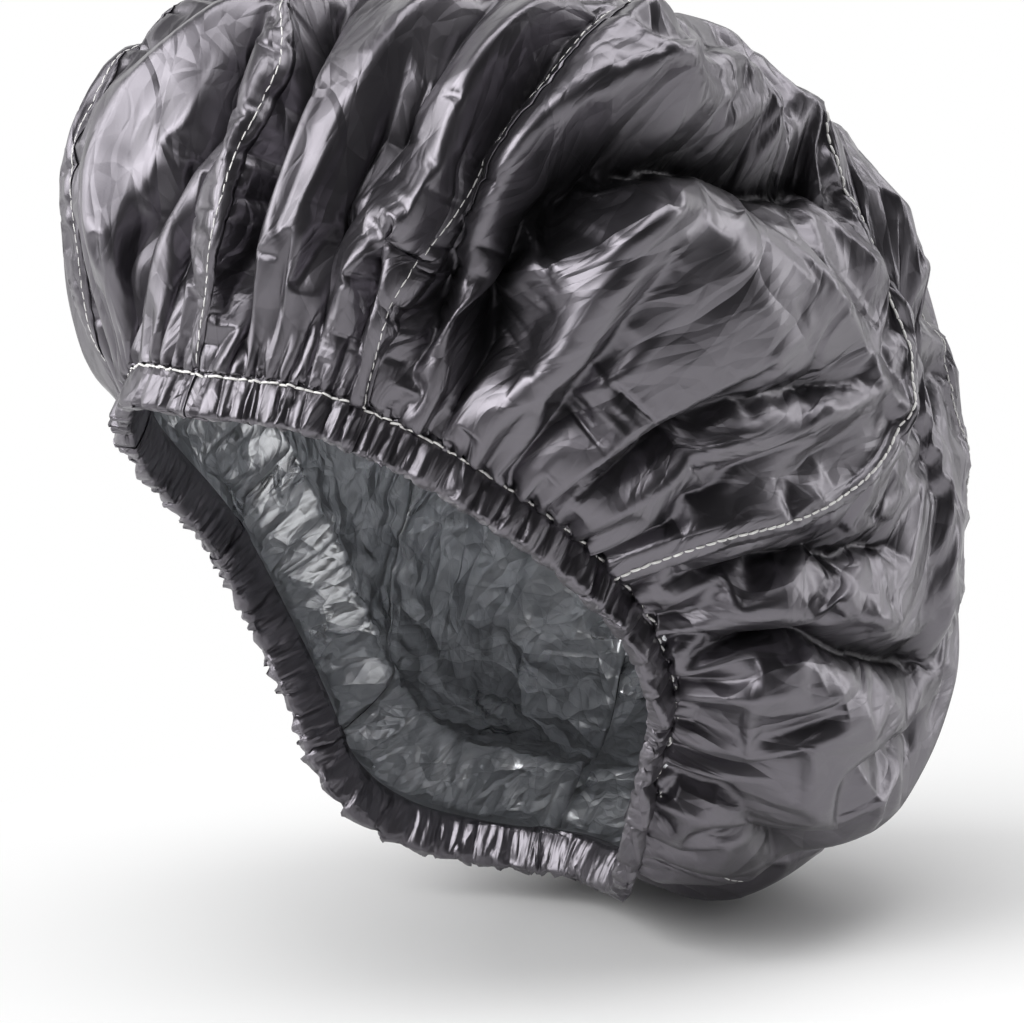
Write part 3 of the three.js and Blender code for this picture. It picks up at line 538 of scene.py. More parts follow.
# faces between the points of a grid, which may be closed to a ring in either direction
def gridFaces(columns, rows, ringColumns=False, ringRows=False, turned=False):
    across, down = (columns if ringColumns else columns - 1), (rows if ringRows else rows - 1)
    c, r = np.meshgrid(np.arange(across), np.arange(down), indexing="ij")
    after, below = (c + 1) % columns, (r + 1) % rows
    corners = [c * rows + r, c * rows + below, after * rows + below, after * rows + r]
    if turned:
        corners[1], corners[3] = corners[3], corners[1]
    return np.stack(corners, axis=-1).reshape(-1, 4)


def gridMesh(name, points):
    columns, rows = points.shape[:2]
    mesh = bpy.data.meshes.new(name)
    quads = gridFaces(columns, rows)
    mesh.vertices.add(columns * rows)
    mesh.vertices.foreach_set("co", (points.reshape(-1) * mm).astype(np.float32))
    mesh.loops.add(len(quads) * 4)
    mesh.polygons.add(len(quads))
    mesh.loops.foreach_set("vertex_index", quads.reshape(-1).astype(np.int32))
    mesh.polygons.foreach_set("loop_start", np.arange(0, len(quads) * 4, 4, dtype=np.int32))
    mesh.polygons.foreach_set("loop_total", np.full(len(quads), 4, np.int32))
    mesh.update(calc_edges=True)
    mesh.validate()
    return mesh


# values at the middles of the steps, along a smooth curve through four neighbours
def between(values, axis, closed):
    if closed:
        before, after, next2 = np.roll(values, 1, axis), np.roll(values, -1, axis), np.roll(values, -2, axis)
        return (9 * (values + after) - before - next2) / 16
    middle = np.moveaxis(values, axis, 0)
    padded = np.concatenate([2 * middle[:1] - middle[1:2], middle, 2 * middle[-1:] - middle[-2:-1]])
    fine = (9 * (padded[1:-2] + padded[2:-1]) - padded[:-3] - padded[3:]) / 16
    return np.moveaxis(fine, 0, axis)


# the same values on a grid of twice the columns and rows
def finer(values):
    rows = np.empty((values.shape[0], values.shape[1] * 2 - 1) + values.shape[2:], values.dtype)
    rows[:, ::2], rows[:, 1::2] = values, between(values, 1, False)
    full = np.empty((rows.shape[0] * 2,) + rows.shape[1:], values.dtype)
    full[::2], full[1::2] = rows, between(rows, 0, True)
    return full


# the film's cut is a little larger than its form, so it buckles and creases until its lengths fit
def settledFilm(start, form, width, height, steps, free, legs=None):
    count, rows = form.shape[:2]
    around = np.roll(form, -1, 0) - form
    down = form[:, 1:] - form[:, :-1]
    aroundRest = np.linalg.norm(around, axis=-1) * width
    downRest = np.linalg.norm(down, axis=-1) * height[:, 1:]
    cross = np.sum(around[:, :-1] * down, axis=-1) * width[:, :-1] * height[:, 1:]
    square = aroundRest[:, :-1] ** 2 + downRest**2
    slantRest = np.sqrt(square + 2 * cross)
    otherRest = np.sqrt(square - 2 * cross)

    now = np.ascontiguousarray(np.moveaxis(start, -1, 0)).astype(np.float32)
    target = now.copy()
    before = now.copy()
    weight = free.astype(np.float32)
    everyRow, upper, lower = slice(0, rows), slice(0, rows - 1), slice(1, rows)
    groups = []
    for parity in (0, 1):
        here = np.arange(parity, count, 2)
        there = (here + 1) % count
        groups.append((here, everyRow, there, everyRow, aroundRest[here]))
        groups.append((here, upper, there, lower, slantRest[here]))
        groups.append((there, upper, here, lower, otherRest[here]))
    allColumns = slice(0, count)
    for parity in (0, 1):
        top, bottom = slice(parity, rows - 1, 2), slice(parity + 1, rows, 2)
        groups.append((allColumns, top, allColumns, bottom, downRest[:, parity::2]))
    groups = [(c0, r0, c1, r1, rest.astype(np.float32)) for c0, r0, c1, r1, rest in groups]
    weights = [(weight[c0, r0], weight[c1, r1]) for c0, r0, c1, r1, _ in groups]
    step2 = (aroundRest**2).astype(np.float32) + 1e-6
    down2 = np.ones((count, rows), np.float32)
    down2[:, 1:-1] = ((downRest[:, 1:] + downRest[:, :-1]) / 2) ** 2
    crease2 = film["crease"] ** 2
    if legs:
        stitched, turns = legs
        point, _, outward = (np.moveaxis(x, -1, 0)[:, :, None].astype(np.float32) for x in hemFrame(turns))
        offsets = np.array([offset for _, offset in casingStops()], np.float32)
        casingPart = slice(stitched, stitched + len(offsets))
        side, least = np.sign(offsets), np.minimum(np.abs(offsets), hem["leastGap"])
    for k in range(steps):
        speed = (now - before) * film["slowing"]
        before = now.copy()
        now += speed * weight
        tangentA = np.roll(now, -1, 1) - np.roll(now, 1, 1)
        tangentB = np.gradient(now, axis=2)
        normal = np.cross(tangentB, tangentA, axis=0)
        normal /= np.sqrt((normal * normal).sum(0)) + 1e-9
        now += normal * (film["push"] * weight)
        for (c0, r0, c1, r1, rest), (w0, w1) in zip(groups, weights):
            here, there = now[:, c0, r0], now[:, c1, r1]
            offset = there - here
            length = np.sqrt((offset * offset).sum(0)) + 1e-9
            offset *= (length - rest) / (length * (w0 + w1 + 1e-9))
            now[:, c0, r0] = here + offset * w0
            now[:, c1, r1] = there - offset * w1
        bend = (np.roll(now, -1, 1) + np.roll(now, 1, 1)) / 2 - now
        now += bend * (film["stiffness"] * weight / (1 + (bend * bend).sum(0) / (crease2 * step2)))
        bend = np.zeros_like(now)
        bend[:, :, 1:-1] = (now[:, :, 2:] + now[:, :, :-2]) / 2 - now[:, :, 1:-1]
        now += bend * (film["stiffness"] * weight / (1 + (bend * bend).sum(0) / (crease2 * down2)))
        now += (target - now) * (film["hold"] * weight)
        if legs:
            # each leg of the casing keeps to its own side of the elastic
            leg = now[:, :, casingPart]
            offset = ((leg - point) * outward).sum(0) * side
            leg += outward * (side * np.maximum(least - offset, 0))
    return np.moveaxis(now, 0, -1).astype(float)


# drop below the stitched row and offset from the middle layer, down the outer leg, round and up inside
def casingStops():
    radius = hem["legOffset"]
    bottom = hem["height"] - radius
    outerStops, innerStops = hem["legStops"]
    outer = [(drop, radius) for drop in np.linspace(0, bottom, outerStops)[1:]]
    bend = [(bottom + radius * math.sin(t), radius * math.cos(t)) for t in hem["bendStops"]]
    inner = [(drop, -radius) for drop in np.linspace(bottom, 0, innerStops)]
    return outer + bend + inner


# the hem's casing for the columns at the places given
def casingForm(places):
    turn = placeTurn(places, np.ones(len(places)))
    point, down, outward = hemFrame(turn)
    low, high = hem["pleatHeight"]
    rows = []
    for drop, offset in casingStops():
        share = min(drop / hem["height"], 1)
        shape, _ = pleatShape(places, share if offset >= 0 else 2 - share)
        size = low + (high - low) * math.sin(math.pi / 2 * share) ** hem["pleatPower"]
        away = offset + shape * size * (1 if offset > 0 else -hem["innerPleat"])
        edge = hem["scallop"] * (shape - hem["scallopMiddle"]) * smooth(hem["scallopStart"], 1, share)
        rows.append(point + down * (drop + edge)[:, None] + outward * away[:, None])
    for up in (hem["turning"] / 2, hem["turning"]):
        share = 1 - up / lineLength(turn)
        rows.append(bodyPoint(turn, share) - bodyNormal(turn, share) * hem["legOffset"])
    return np.stack(rows, axis=1)


# how much larger the cut is than the form, round it and down it
def filmGrowth(form, up, fromCrown, level):
    calm = smooth(*film["growthReach"], fromCrown) * film["growthShares"][level]
    width = 1 + film["growth"][0] * calm + film["gatherGrowth"] * np.exp(-((up / film["gatherReach"]) ** 2))
    bunched = np.zeros(up.shape)
    for radius, growth, place in bunches:
        away = np.sum((form - bodyPoint(*place)) ** 2, axis=-1)
        bunched += growth * film["growthShares"][level] * np.exp(-away / radius**2)
    width = width + bunched
    # beside a seam the film is longer than the sewn line, so it puckers there
    columns = len(form) // cap["gores"]
    step = np.linalg.norm(np.roll(form, -1, 0) - form, axis=-1)
    sewn = hem["lapColumns"] / film["columns"][-1] / 2
    fromSeam = (np.arange(len(form)) / columns - sewn + 0.5) % 1 - 0.5
    distance = np.abs(fromSeam)[:, None] * columns * step
    sewnLine = np.exp(-((distance / film["seamWidth"]) ** 2))
    beside = np.exp(-((distance / film["puckerReach"]) ** 2))
    height = 1 + film["growth"][1] * calm + film["pucker"] * beside * calm + bunched
    return width, height * (1 - sewnLine) + sewnLine


# moves are kept below the most that is given
def capped(moved, most):
    far = np.linalg.norm(moved, axis=-1, keepdims=True)
    return moved * most * np.tanh(far / most) / np.maximum(far, 1e-9)


random = np.random.default_rng(film["seed"])
moved = None
for level, steps in enumerate(film["steps"]):
    form, filmUp, filmLength = foldedFilm(level)
    fromCrown = filmLength - filmUp
    free = (filmUp > film["held"][0]) & (fromCrown > film["held"][1])
    if moved is None:
        moved = random.normal(0, film["noise"], form.shape) * free[..., None]
    else:
        moved = finer(moved)
    width, height = filmGrowth(form, filmUp, fromCrown, level)
    legs = None
    if level == finest:
        bodyRows = form.shape[1]
        places = np.arange(len(form)) / film["columns"][level]
        lower = casingForm(places)
        form = np.concatenate([form, lower], axis=1)
        moved = np.concatenate([moved, random.normal(0, hem["noise"], lower.shape)], axis=1)
        moved[:, -hem["heldRows"]:] = 0
        free = np.concatenate([free, np.ones(lower.shape[:2], bool)], axis=1)
        free[:, -hem["heldRows"]:] = False
        width = np.concatenate([width, np.full(lower.shape[:2], 1 + hem["growth"][0])], axis=1)
        height = np.concatenate([height, np.full(lower.shape[:2], 1 + hem["growth"][1])], axis=1)
        legs = (bodyRows, placeTurn(places, np.ones(len(places))))
    moved = settledFilm(form + moved, form, width, height, steps, free, legs) - form
    far = np.linalg.norm(moved, axis=-1)
    report(f"film settled, grid {level + 1}, moved {far.mean():.1f} mm, at most {far.max():.1f} mm")
    moved = capped(moved, film["cap"])
wholeFilm = form + moved
shell = wholeFilm[:, :bodyRows]
shellShares = rowShares(bodyRows, film["rowCrowding"])

filmNormals = gridNormals(wholeFilm)
middle = bodyRows // 2
if np.mean(np.sum(filmNormals[:, middle] * (wholeFilm[:, middle] - bodyCentre), axis=-1)) < 0:
    filmNormals = -filmNormals


# mean of the values within the reach, in columns and rows
def blurred(values, reach):
    for axis in (0, 1):
        if axis == 0:
            padded = np.concatenate([values[-reach:], values, values[:reach]])
        else:
            padded = np.concatenate([values[:, :1]] * reach + [values] + [values[:, -1:]] * reach, axis=1)
        total = np.cumsum(np.insert(padded, 0, 0, axis), axis)
        width = 2 * reach + 1
        total = np.moveaxis(total, axis, 0)
        values = np.moveaxis((total[width:] - total[:-width]) / width, 0, axis)
    return values


# how far the settled film stands out from the smooth body
def filmRise():
    places = np.arange(len(shell)) / film["columns"][-1]
    turns = placeTurn(places[:, None], shellShares[None, :])
    offset = shell - bodyPoint(turns, shellShares[None, :])
    return np.sum(offset * bodyNormal(turns, shellShares[None, :]), axis=-1)


# 0 on the crests and up to 1 deep in the folds: the mask of the painted shade that fades the gloss there
def foldDepth():
    rise = filmRise()
    level = blurred(blurred(rise, film["foldReach"]), film["foldReach"])
    depth = np.clip((level - rise - film["foldShade"][0]) / film["foldShade"][1], 0, 1)
    return blurred(depth, 1)


def linkedObject(name, mesh):
    made = bpy.data.objects.new(name, mesh)
    bpy.context.scene.collection.objects.link(made)
    return made


# a sheet's own map: millimetres round it and down it, as metres
def sheetMap(mesh, points):
    columns, rows = points.shape[:2]
    acrossRun = runningLength(np.swapaxes(points, 0, 1)).T
    downRun = runningLength(points)
    acrossRun = acrossRun - acrossRun[columns // 2]
    uv = np.stack([acrossRun, downRun], axis=-1).reshape(-1, 2) * mm
    index = np.zeros(len(mesh.loops), np.int32)
    mesh.loops.foreach_get("vertex_index", index)
    layer = mesh.uv_layers.new(name="sheet")
    layer.data.foreach_set("uv", uv[index].reshape(-1).astype(np.float32))


def sheetPiece(name, points, material, thickness, **fields):
    mesh = gridMesh(name, points)
    sheetMap(mesh, points)
    for field, values in fields.items():
        layer = mesh.attributes.new(field, "FLOAT", "POINT")
        layer.data.foreach_set("value", values.reshape(-1).astype(np.float32))
    mesh.polygons.foreach_set("use_smooth", np.ones(len(mesh.polygons), bool))
    mesh.materials.append(material)
    piece = linkedObject(name, mesh)
    wall = piece.modifiers.new("thickness", "SOLIDIFY")
    wall.thickness = thickness * mm
    wall.offset = -1
    return piece


# a piece rides on the cap's one body and takes the place of a CAD node
def placed(piece, node):
    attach(piece, "root")
    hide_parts(node)


# a sheet's flat size, along its widest row and down its column of median length, and its own area
def declared(piece, points):
    length = float(np.median(runningLength(points)[:, -1]))
    width = float(runningLength(np.swapaxes(points, 0, 1))[:, -1].max())
    corner = points[:-1, :-1]
    area = np.cross(points[1:, :-1] - corner, points[:-1, 1:] - corner)
    area = float(np.linalg.norm(area, axis=-1).sum())
    share = area / width / length
    print(f"  {piece.name}: {width:.0f} x {length:.0f} mm, {area / 1e6:.4f} m2, share {share:.2f}")


# adds a node, with its inputs set to values or linked to other nodes' outputs
def addNode(tree, kind, inputs=None, **settings):
    made = tree.nodes.new(kind)
    for name, value in settings.items():
        setattr(made, name, value)
    for key, value in (inputs or {}).items():
        if isinstance(value, bpy.types.NodeSocket):
            tree.links.new(value, made.inputs[key])
        else:
            made.inputs[key].default_value = value
    return made


def calculate(tree, operation, *values):
    return addNode(tree, "ShaderNodeMath", dict(enumerate(values)), operation=operation).outputs[0]


def ranged(tree, value, low, high, first, last):
    names = {"Value": value, "From Min": low, "From Max": high, "To Min": first, "To Max": last}
    return addNode(tree, "ShaderNodeMapRange", names).outputs[0]


def noise(tree, vector, scale, detail=2, kind="FBM"):
    inputs = {"Vector": vector, "Scale": scale, "Detail": detail}
    return addNode(tree, "ShaderNodeTexNoise", inputs, noise_type=kind).outputs[0]


# height of flat facets with sharp creases between them: the distance to the nearest edge of each cell
def facets(tree, vector, given):
    heights = []
    for scale, slope in zip(given["facetScale"], given["facetSlope"]):
        inputs = {"Vector": vector, "Scale": scale}
        cells = addNode(tree, "ShaderNodeTexVoronoi", inputs, feature="DISTANCE_TO_EDGE").outputs["Distance"]
        heights.append((cells, slope / scale / mm))
    return heights


def stretched(tree, vector, scale):
    return addNode(tree, "ShaderNodeMapping", {"Vector": vector, "Scale": scale}).outputs[0]


def vectorMath(tree, operation, *values):
    return addNode(tree, "ShaderNodeVectorMath", dict(enumerate(values)), operation=operation).outputs


# pushes the places of a vector about by noise, so that cells drawn with it aren't regular
def warped(tree, vector, scale, size):
    inputs = {"Vector": vector, "Scale": scale, "Detail": 2}
    colors = addNode(tree, "ShaderNodeTexNoise", inputs).outputs["Color"]
    centred = vectorMath(tree, "SUBTRACT", colors, (0.5, 0.5, 0.5))[0]
    return vectorMath(tree, "MULTIPLY_ADD", centred, (size, size, size), vector)[0]


def mixed(tree, share, first, last):
    return addNode(tree, "ShaderNodeMix", {0: share, 2: first, 3: last}, data_type="FLOAT").outputs[0]


def mixedColor(tree, share, first, last):
    inputs = {0: share, 6: first + (1,), 7: last + (1,)}
    return addNode(tree, "ShaderNodeMix", inputs, data_type="RGBA").outputs[2]


# sum of height fields, each with its size in millimetres, as a bump
def bumped(tree, *fields):
    total = 0
    for field, size in fields:
        total = calculate(tree, "MULTIPLY_ADD", field, size, total)
    return addNode(tree, "ShaderNodeBump", {"Height": total, "Distance": mm, "Strength": 1}).outputs[0]


def newMaterial(name):
    material = bpy.data.materials.new(name)
    material.use_nodes = True
    tree = material.node_tree
    return material, tree, tree.nodes["Principled BSDF"]


def joined(tree, shader, **inputs):
    names = {"color": "Base Color", "roughness": "Roughness", "normal": "Normal", "coatNormal": "Coat Normal"}
    for key, value in inputs.items():
        tree.links.new(value, shader.inputs[names[key]])


# thin black film: crumpled facets, fine wrinkles that run up from the gathered hem, uneven gloss, and painted
# shade that fades the gloss deep in the folds
filmLook = {
    "color": (0.007, 0.0068, 0.0076),
    "wornColor": (0.15, 0.15, 0.16),      # the film is paler along its sharpest creases
    "wornFrom": (1.25, 2.2),
    "roughness": (0.32, 0.42),
    "ior": 2.2,
    "specular": (0.55, 0.06),             # on the crests, and deep in the folds, where it fades as painted shade
    "sheenTint": (0.95, 0.89, 1, 1),
    # coat weight on the crests and deep in the folds, where it fades as painted shade
    "coat": (0.35, 0.02),
    "coatRoughness": 0.22,
    "warp": (16, 0.03),                   # waves in a metre, and how far they push the facets, in metres
    "facetScale": (17, 43, 130),          # cells in a metre
    "facetSlope": (0.19, 0.12, 0.07),     # how steep their sides are
    "facetStretch": (1, 0.5, 1),          # less than 1 draws the facets out down the gore
    "wrinkleWarp": (24, 0.025),
    "wrinkleScale": 30,
    "wrinkleStretch": (1, 0.4, 1),
    "wrinkleHeight": 0.45,                # millimetres
    "hemWrinkleScale": 190,
    "hemWrinkleStretch": (1, 0.16, 1),
    "hemWrinkleHeight": 0.3,
    "grainScale": 1400,
    "grainHeight": 0.01,
    "cloudScale": 21,                     # patches of more and less gloss
    "cloudRange": (0.3, 0.7),
    "wornRoughness": 0.08,
}


def filmMaterialMade():
    material, tree, shader = newMaterial("glossyFilm")
    shader.inputs["IOR"].default_value = filmLook["ior"]
    # painted shade: the gloss and the coat fade deep in the folds
    paintedFoldShade = addNode(tree, "ShaderNodeAttribute", attribute_name="paintedFoldShade").outputs["Fac"]
    tree.links.new(ranged(tree, paintedFoldShade, 0, 1, *filmLook["specular"]), shader.inputs["Specular IOR Level"])
    shader.inputs["Specular Tint"].default_value = filmLook["sheenTint"]
    tree.links.new(ranged(tree, paintedFoldShade, 0, 1, *filmLook["coat"]), shader.inputs["Coat Weight"])
    shader.inputs["Coat Roughness"].default_value = filmLook["coatRoughness"]
    place = addNode(tree, "ShaderNodeUVMap", uv_map="sheet").outputs[0]
    nearHem = addNode(tree, "ShaderNodeAttribute", attribute_name="nearHem").outputs["Fac"]
    moved = warped(tree, place, *filmLook["warp"])
    heights = facets(tree, stretched(tree, moved, filmLook["facetStretch"]), filmLook)
    creased = stretched(tree, warped(tree, place, *filmLook["wrinkleWarp"]), filmLook["wrinkleStretch"])
    wrinkles = noise(tree, creased, filmLook["wrinkleScale"], 4, "RIDGED_MULTIFRACTAL")
    drawn = stretched(tree, moved, filmLook["hemWrinkleStretch"])
    hemWrinkles = noise(tree, drawn, filmLook["hemWrinkleScale"])
    grain = noise(tree, place, filmLook["grainScale"])
    height = calculate(tree, "MULTIPLY", hemWrinkles, nearHem)
    normal = bumped(
        tree, *heights, (wrinkles, filmLook["wrinkleHeight"]),
        (height, filmLook["hemWrinkleHeight"]), (grain, filmLook["grainHeight"]),
    )
    clouds = noise(tree, place, filmLook["cloudScale"], 3)
    worn = ranged(tree, wrinkles, *filmLook["wornFrom"], 0, 1)
    gloss = ranged(tree, clouds, *filmLook["cloudRange"], *filmLook["roughness"])
    gloss = calculate(tree, "MULTIPLY_ADD", worn, filmLook["wornRoughness"], gloss)
    joined(
        tree, shader, color=mixedColor(tree, worn, filmLook["color"], filmLook["wornColor"]),
        roughness=gloss, normal=normal, coatNormal=normal,
    )
    return material


# foil-faced lining: crumpled metal film over a fleece, with painted shade darkening its creases
foilLook = {
    "color": (0.6, 0.61, 0.63),
    # painted shade: the darker colour along the creases
    "creaseShadeColor": (0.53, 0.54, 0.56),
    "creaseWidth": 0.06,                  # share of a cell
    "roughness": (0.24, 0.42),
    "warp": (25, 0.02),
    "facetScale": (36, 95, 230),
    "facetSlope": (0.2, 0.13, 0.08),
    "grainScale": 1600,
    "grainHeight": 0.008,
    "cloudScale": 33,
    "cloudRange": (0.3, 0.7),
}


def foilMaterialMade():
    material, tree, shader = newMaterial("liningFoil")
    shader.inputs["Metallic"].default_value = 1
    place = addNode(tree, "ShaderNodeUVMap", uv_map="sheet").outputs[0]
    heights = facets(tree, warped(tree, place, *foilLook["warp"]), foilLook)
    grain = noise(tree, place, foilLook["grainScale"])
    normal = bumped(tree, *heights, (grain, foilLook["grainHeight"]))
    # painted shade: the colour darkens along the edges of the middle cells
    crease = ranged(tree, heights[1][0], 0, foilLook["creaseWidth"], 1, 0)
    clouds = noise(tree, place, foilLook["cloudScale"], 3)
    gloss = ranged(tree, clouds, *foilLook["cloudRange"], *foilLook["roughness"])
    joined(
        tree, shader, color=mixedColor(tree, crease, foilLook["color"], foilLook["creaseShadeColor"]),
        roughness=gloss, normal=normal,
    )
    return material


# woven elastic and sewing thread: fine strands from noise in the object's own place
strandLook = {
    "stretch": (1, 1, 0.35),
    "strandRange": (0.3, 0.7),
    "roughnessSpread": 0.15,
    "shadeScale": 9,                      # how many times coarser the shades are than the strands
    "shadeRange": (0.35, 0.65),
    # color, other color, roughness, strands in a metre, and their height in millimetres
    "elasticWeb": ((0.02, 0.02, 0.022), (0.045, 0.045, 0.05), 0.75, 1500, 0.12),
    "sewingThread": ((0.8, 0.79, 0.77), (0.6, 0.59, 0.58), 0.6, 3200, 0.05),
}


def strandMaterial(name):
    color, otherColor, roughness, scale, height = strandLook[name]
    material, tree, shader = newMaterial(name)
    place = addNode(tree, "ShaderNodeTexCoord").outputs["Object"]
    strands = noise(tree, stretched(tree, place, strandLook["stretch"]), scale, 3)
    shade = ranged(tree, noise(tree, place, scale / strandLook["shadeScale"]), *strandLook["shadeRange"], 0, 1)
    rougher = min(roughness + strandLook["roughnessSpread"], 1)
    joined(
        tree, shader, color=mixedColor(tree, shade, color, otherColor),
        roughness=ranged(tree, strands, *strandLook["strandRange"], roughness, rougher),
        normal=bumped(tree, (strands, height)),
    )
    return material


filmMaterial = filmMaterialMade()
foilMaterial = foilMaterialMade()
elasticMaterial, threadMaterial = strandMaterial("elasticWeb"), strandMaterial("sewingThread")

# film gores: each laps the next one's edge
perGore = film["columns"][-1]
nearHem = np.exp(-((filmUp / hem["wrinkleReach"]) ** 2))
casingRows = wholeFilm.shape[1] - bodyRows
nearHem = np.concatenate([nearHem, np.ones((len(nearHem), casingRows))], axis=1)
# painted shade: how deep in a fold each point lies, to fade the gloss there
paintedFoldShade = np.concatenate([foldDepth(), np.zeros((len(nearHem), casingRows))], axis=1)
for gore, side in enumerate(goreNames):
    columns = np.arange(gore * perGore, (gore + 1) * perGore + hem["lapColumns"] + 1)
    lifted = np.clip((columns - (gore + 1) * perGore + 2) / 2, 0, 1) * hem["lapLift"]
    wrapped = columns % len(wholeFilm)
    points = wholeFilm[wrapped] + filmNormals[wrapped] * lifted[:, None, None]
    fields = {"nearHem": nearHem[wrapped], "paintedFoldShade": paintedFoldShade[wrapped]}
    piece = sheetPiece(f"film_gore_{side}", points, filmMaterial, film["thickness"], **fields)
    placed(piece, f"shell_gore_{side}")
    declared(piece, points)
report("film gores")

# foil lining: it hangs inside the film, clear of it, and is caught between the casing's legs
lining = {
    "columns": 40,
    "rows": 91,
    "rowCrowding": 1.2,
    "inset": (1.4, 26),         # how far inside the body it hangs, at the crown and below it
    "insetStart": (14, 60),     # lengths from the crown over which it reaches that
    "insetEnd": 30,             # and the length above the stitched row where it begins to come back
    "filmReach": 7,             # columns and rows of the film that it keeps clear of
    "clear": 2,
    "clearEnd": (2, 7),         # lengths above the stitched row over which the clearance sets in
    "clearStart": (6, 20),      # and from the crown
    "smoothing": 4,
    "held": (4, 12),            # held this near the stitched row and the crown
    "gap": 0.2,
    "gapMost": 0.4,             # most of a column that the gap may take
    "thickness": 0.4,
    "growth": 0.035,
    "growthReach": (12, 50),
    "gatherGrowth": 0.15,
    "gatherReach": 30,
    "steps": 220,
    "noise": 0.5,
    "cap": 6,
}


# how far the film reaches in from the smooth body, read at the places and shares given
def filmDepth(places, shares):
    depth = -filmRise()
    reach = lining["filmReach"]
    for axis in (0, 1):
        depth = np.max([np.roll(depth, k, axis) for k in range(-reach, reach + 1)], axis=0)
    c = np.round(places * film["columns"][-1]).astype(int) % len(shell)
    r = np.clip(np.searchsorted(shellShares, shares), 0, bodyRows - 1)
    return depth[c][:, r]


def liningBase():
    places = np.arange(cap["gores"] * lining["columns"]) / lining["columns"]
    shares = rowShares(lining["rows"], lining["rowCrowding"])
    turns = placeTurn(places[:, None], shares[None, :])
    length = lineLength(turns)
    up, fromCrown = (1 - shares) * length, shares * length
    first, full = lining["inset"]
    drop = first + (full - first) * smooth(*lining["insetStart"], fromCrown)
    drop = drop * smooth(hem["turning"], lining["insetEnd"], up)
    least = filmDepth(places, shares) + lining["clear"]
    least = least * smooth(*lining["clearEnd"], up) * smooth(*lining["clearStart"], fromCrown)
    return bodyPoint(turns, shares[None, :]), bodyNormal(turns, shares[None, :]), drop, least, up, fromCrown


base, outward, drop, least, up, fromCrown = liningBase()
drop = np.maximum(drop, least)
for _ in range(lining["smoothing"]):
    drop = np.maximum((np.roll(drop, 1, 0) + 2 * drop + np.roll(drop, -1, 0)) / 4, least)
form = base - outward * drop[..., None]
free = (up > lining["held"][0]) & (fromCrown > lining["held"][1])
moved = np.zeros_like(form)
start = form + random.normal(0, lining["noise"], form.shape) * free[..., None]
height = 1 + lining["growth"] * smooth(*lining["growthReach"], fromCrown)
width = height + lining["gatherGrowth"] * np.exp(-((up / lining["gatherReach"]) ** 2))
moved = settledFilm(start, form, width, height, lining["steps"], free) - form
moved = capped(moved, lining["cap"])
over = np.maximum(np.sum((form + moved - base) * outward, axis=-1) + least, 0) * free
liningSheet = form + moved - outward * over[..., None]
report("lining settled")

for gore, side in enumerate(goreNames):
    columns = np.arange(gore * lining["columns"], (gore + 1) * lining["columns"] + 1)
    points = liningSheet[columns % len(liningSheet)].copy()
    for edge, inner in ((0, 1), (-1, -2)):
        way = points[inner] - points[edge]
        size = np.linalg.norm(way, axis=-1, keepdims=True)
        points[edge] += way * np.minimum(lining["gap"] / 2 / np.maximum(size, 1e-6), lining["gapMost"])
    piece = sheetPiece(f"foil_gore_{side}", points, foilMaterial, lining["thickness"])
    placed(piece, f"lining_gore_{side}")
    declared(piece, points)
report("lining gores")

# woven elastic in the casing
elastic = {
    "width": 6,
    "thickness": 0.8,
    "drop": 2.5,
    "stops": 1248,
    "rib": 0.08,
    # half of its outline: shares of the half width and of the half thickness
    "outline": [(-1, 0.5), (-0.8, 1), (-0.4, 1), (0, 1), (0.4, 1), (0.8, 1), (1, 0.5)],
}


def solidPiece(name, points, faces, material):
    mesh = bpy.data.meshes.new(name)
    mesh.from_pydata((points * mm).tolist(), [], faces)
    mesh.polygons.foreach_set("use_smooth", np.ones(len(mesh.polygons), bool))
    mesh.materials.append(material)
    return linkedObject(name, mesh)


def elasticLoop():
    turns = np.arange(elastic["stops"]) / elastic["stops"] * 360
    point, down, outward = hemFrame(turns)
    halfWide, halfThick = elastic["width"] / 2, elastic["thickness"] / 2
    middle = point + down * (elastic["drop"] + halfWide)
    ribs = elastic["rib"] * (np.arange(elastic["stops"]) % 2 * 2 - 1)
    outline = elastic["outline"] + [(x, -y) for x, y in elastic["outline"][::-1]]
    rows = [middle + down * (halfWide * x) + outward * ((halfThick + ribs) * y)[:, None] for x, y in outline]
    faces = gridFaces(elastic["stops"], len(rows), ringColumns=True, ringRows=True, turned=True).tolist()
    return solidPiece("hem_elastic", np.stack(rows, axis=1).reshape(-1, 3), faces, elasticMaterial)


placed(elasticLoop(), "elastic_band")
report("elastic")

# stitches are small bent barrels set along each sewn line by one node tree
stitch = {
    "pitch": 3.3,
    "length": 3.15,
    "diameter": 0.75,
    "seamDiameter": (0.42, 0.42, 0.8, 0.5, 0.5, 0.5, 0.5, 0.42),
    "hemLift": 0.3,
    "seamLift": (-0.06, -0.06, 0.12, 0, 0, 0, 0, -0.06),
    "turnSpread": 0.16,
    "turnShares": (0, 0.4, 1),  # of that spread round the stitch's own axes
    "sizeSpread": 0.12,
    "seed": 5,
    "sides": 6,
    # shares along its length, size of its section, and how high it arches
    "outline": [
        (-0.5, 0.35, -0.35), (-0.4, 0.8, -0.05), (-0.2, 1, 0.12), (0, 1, 0.16), (0.2, 1, 0.12),
        (0.4, 0.8, -0.05), (0.5, 0.35, -0.35),
    ],
    "seamStart": 8,             # row of the film where the seams' stitches begin
}


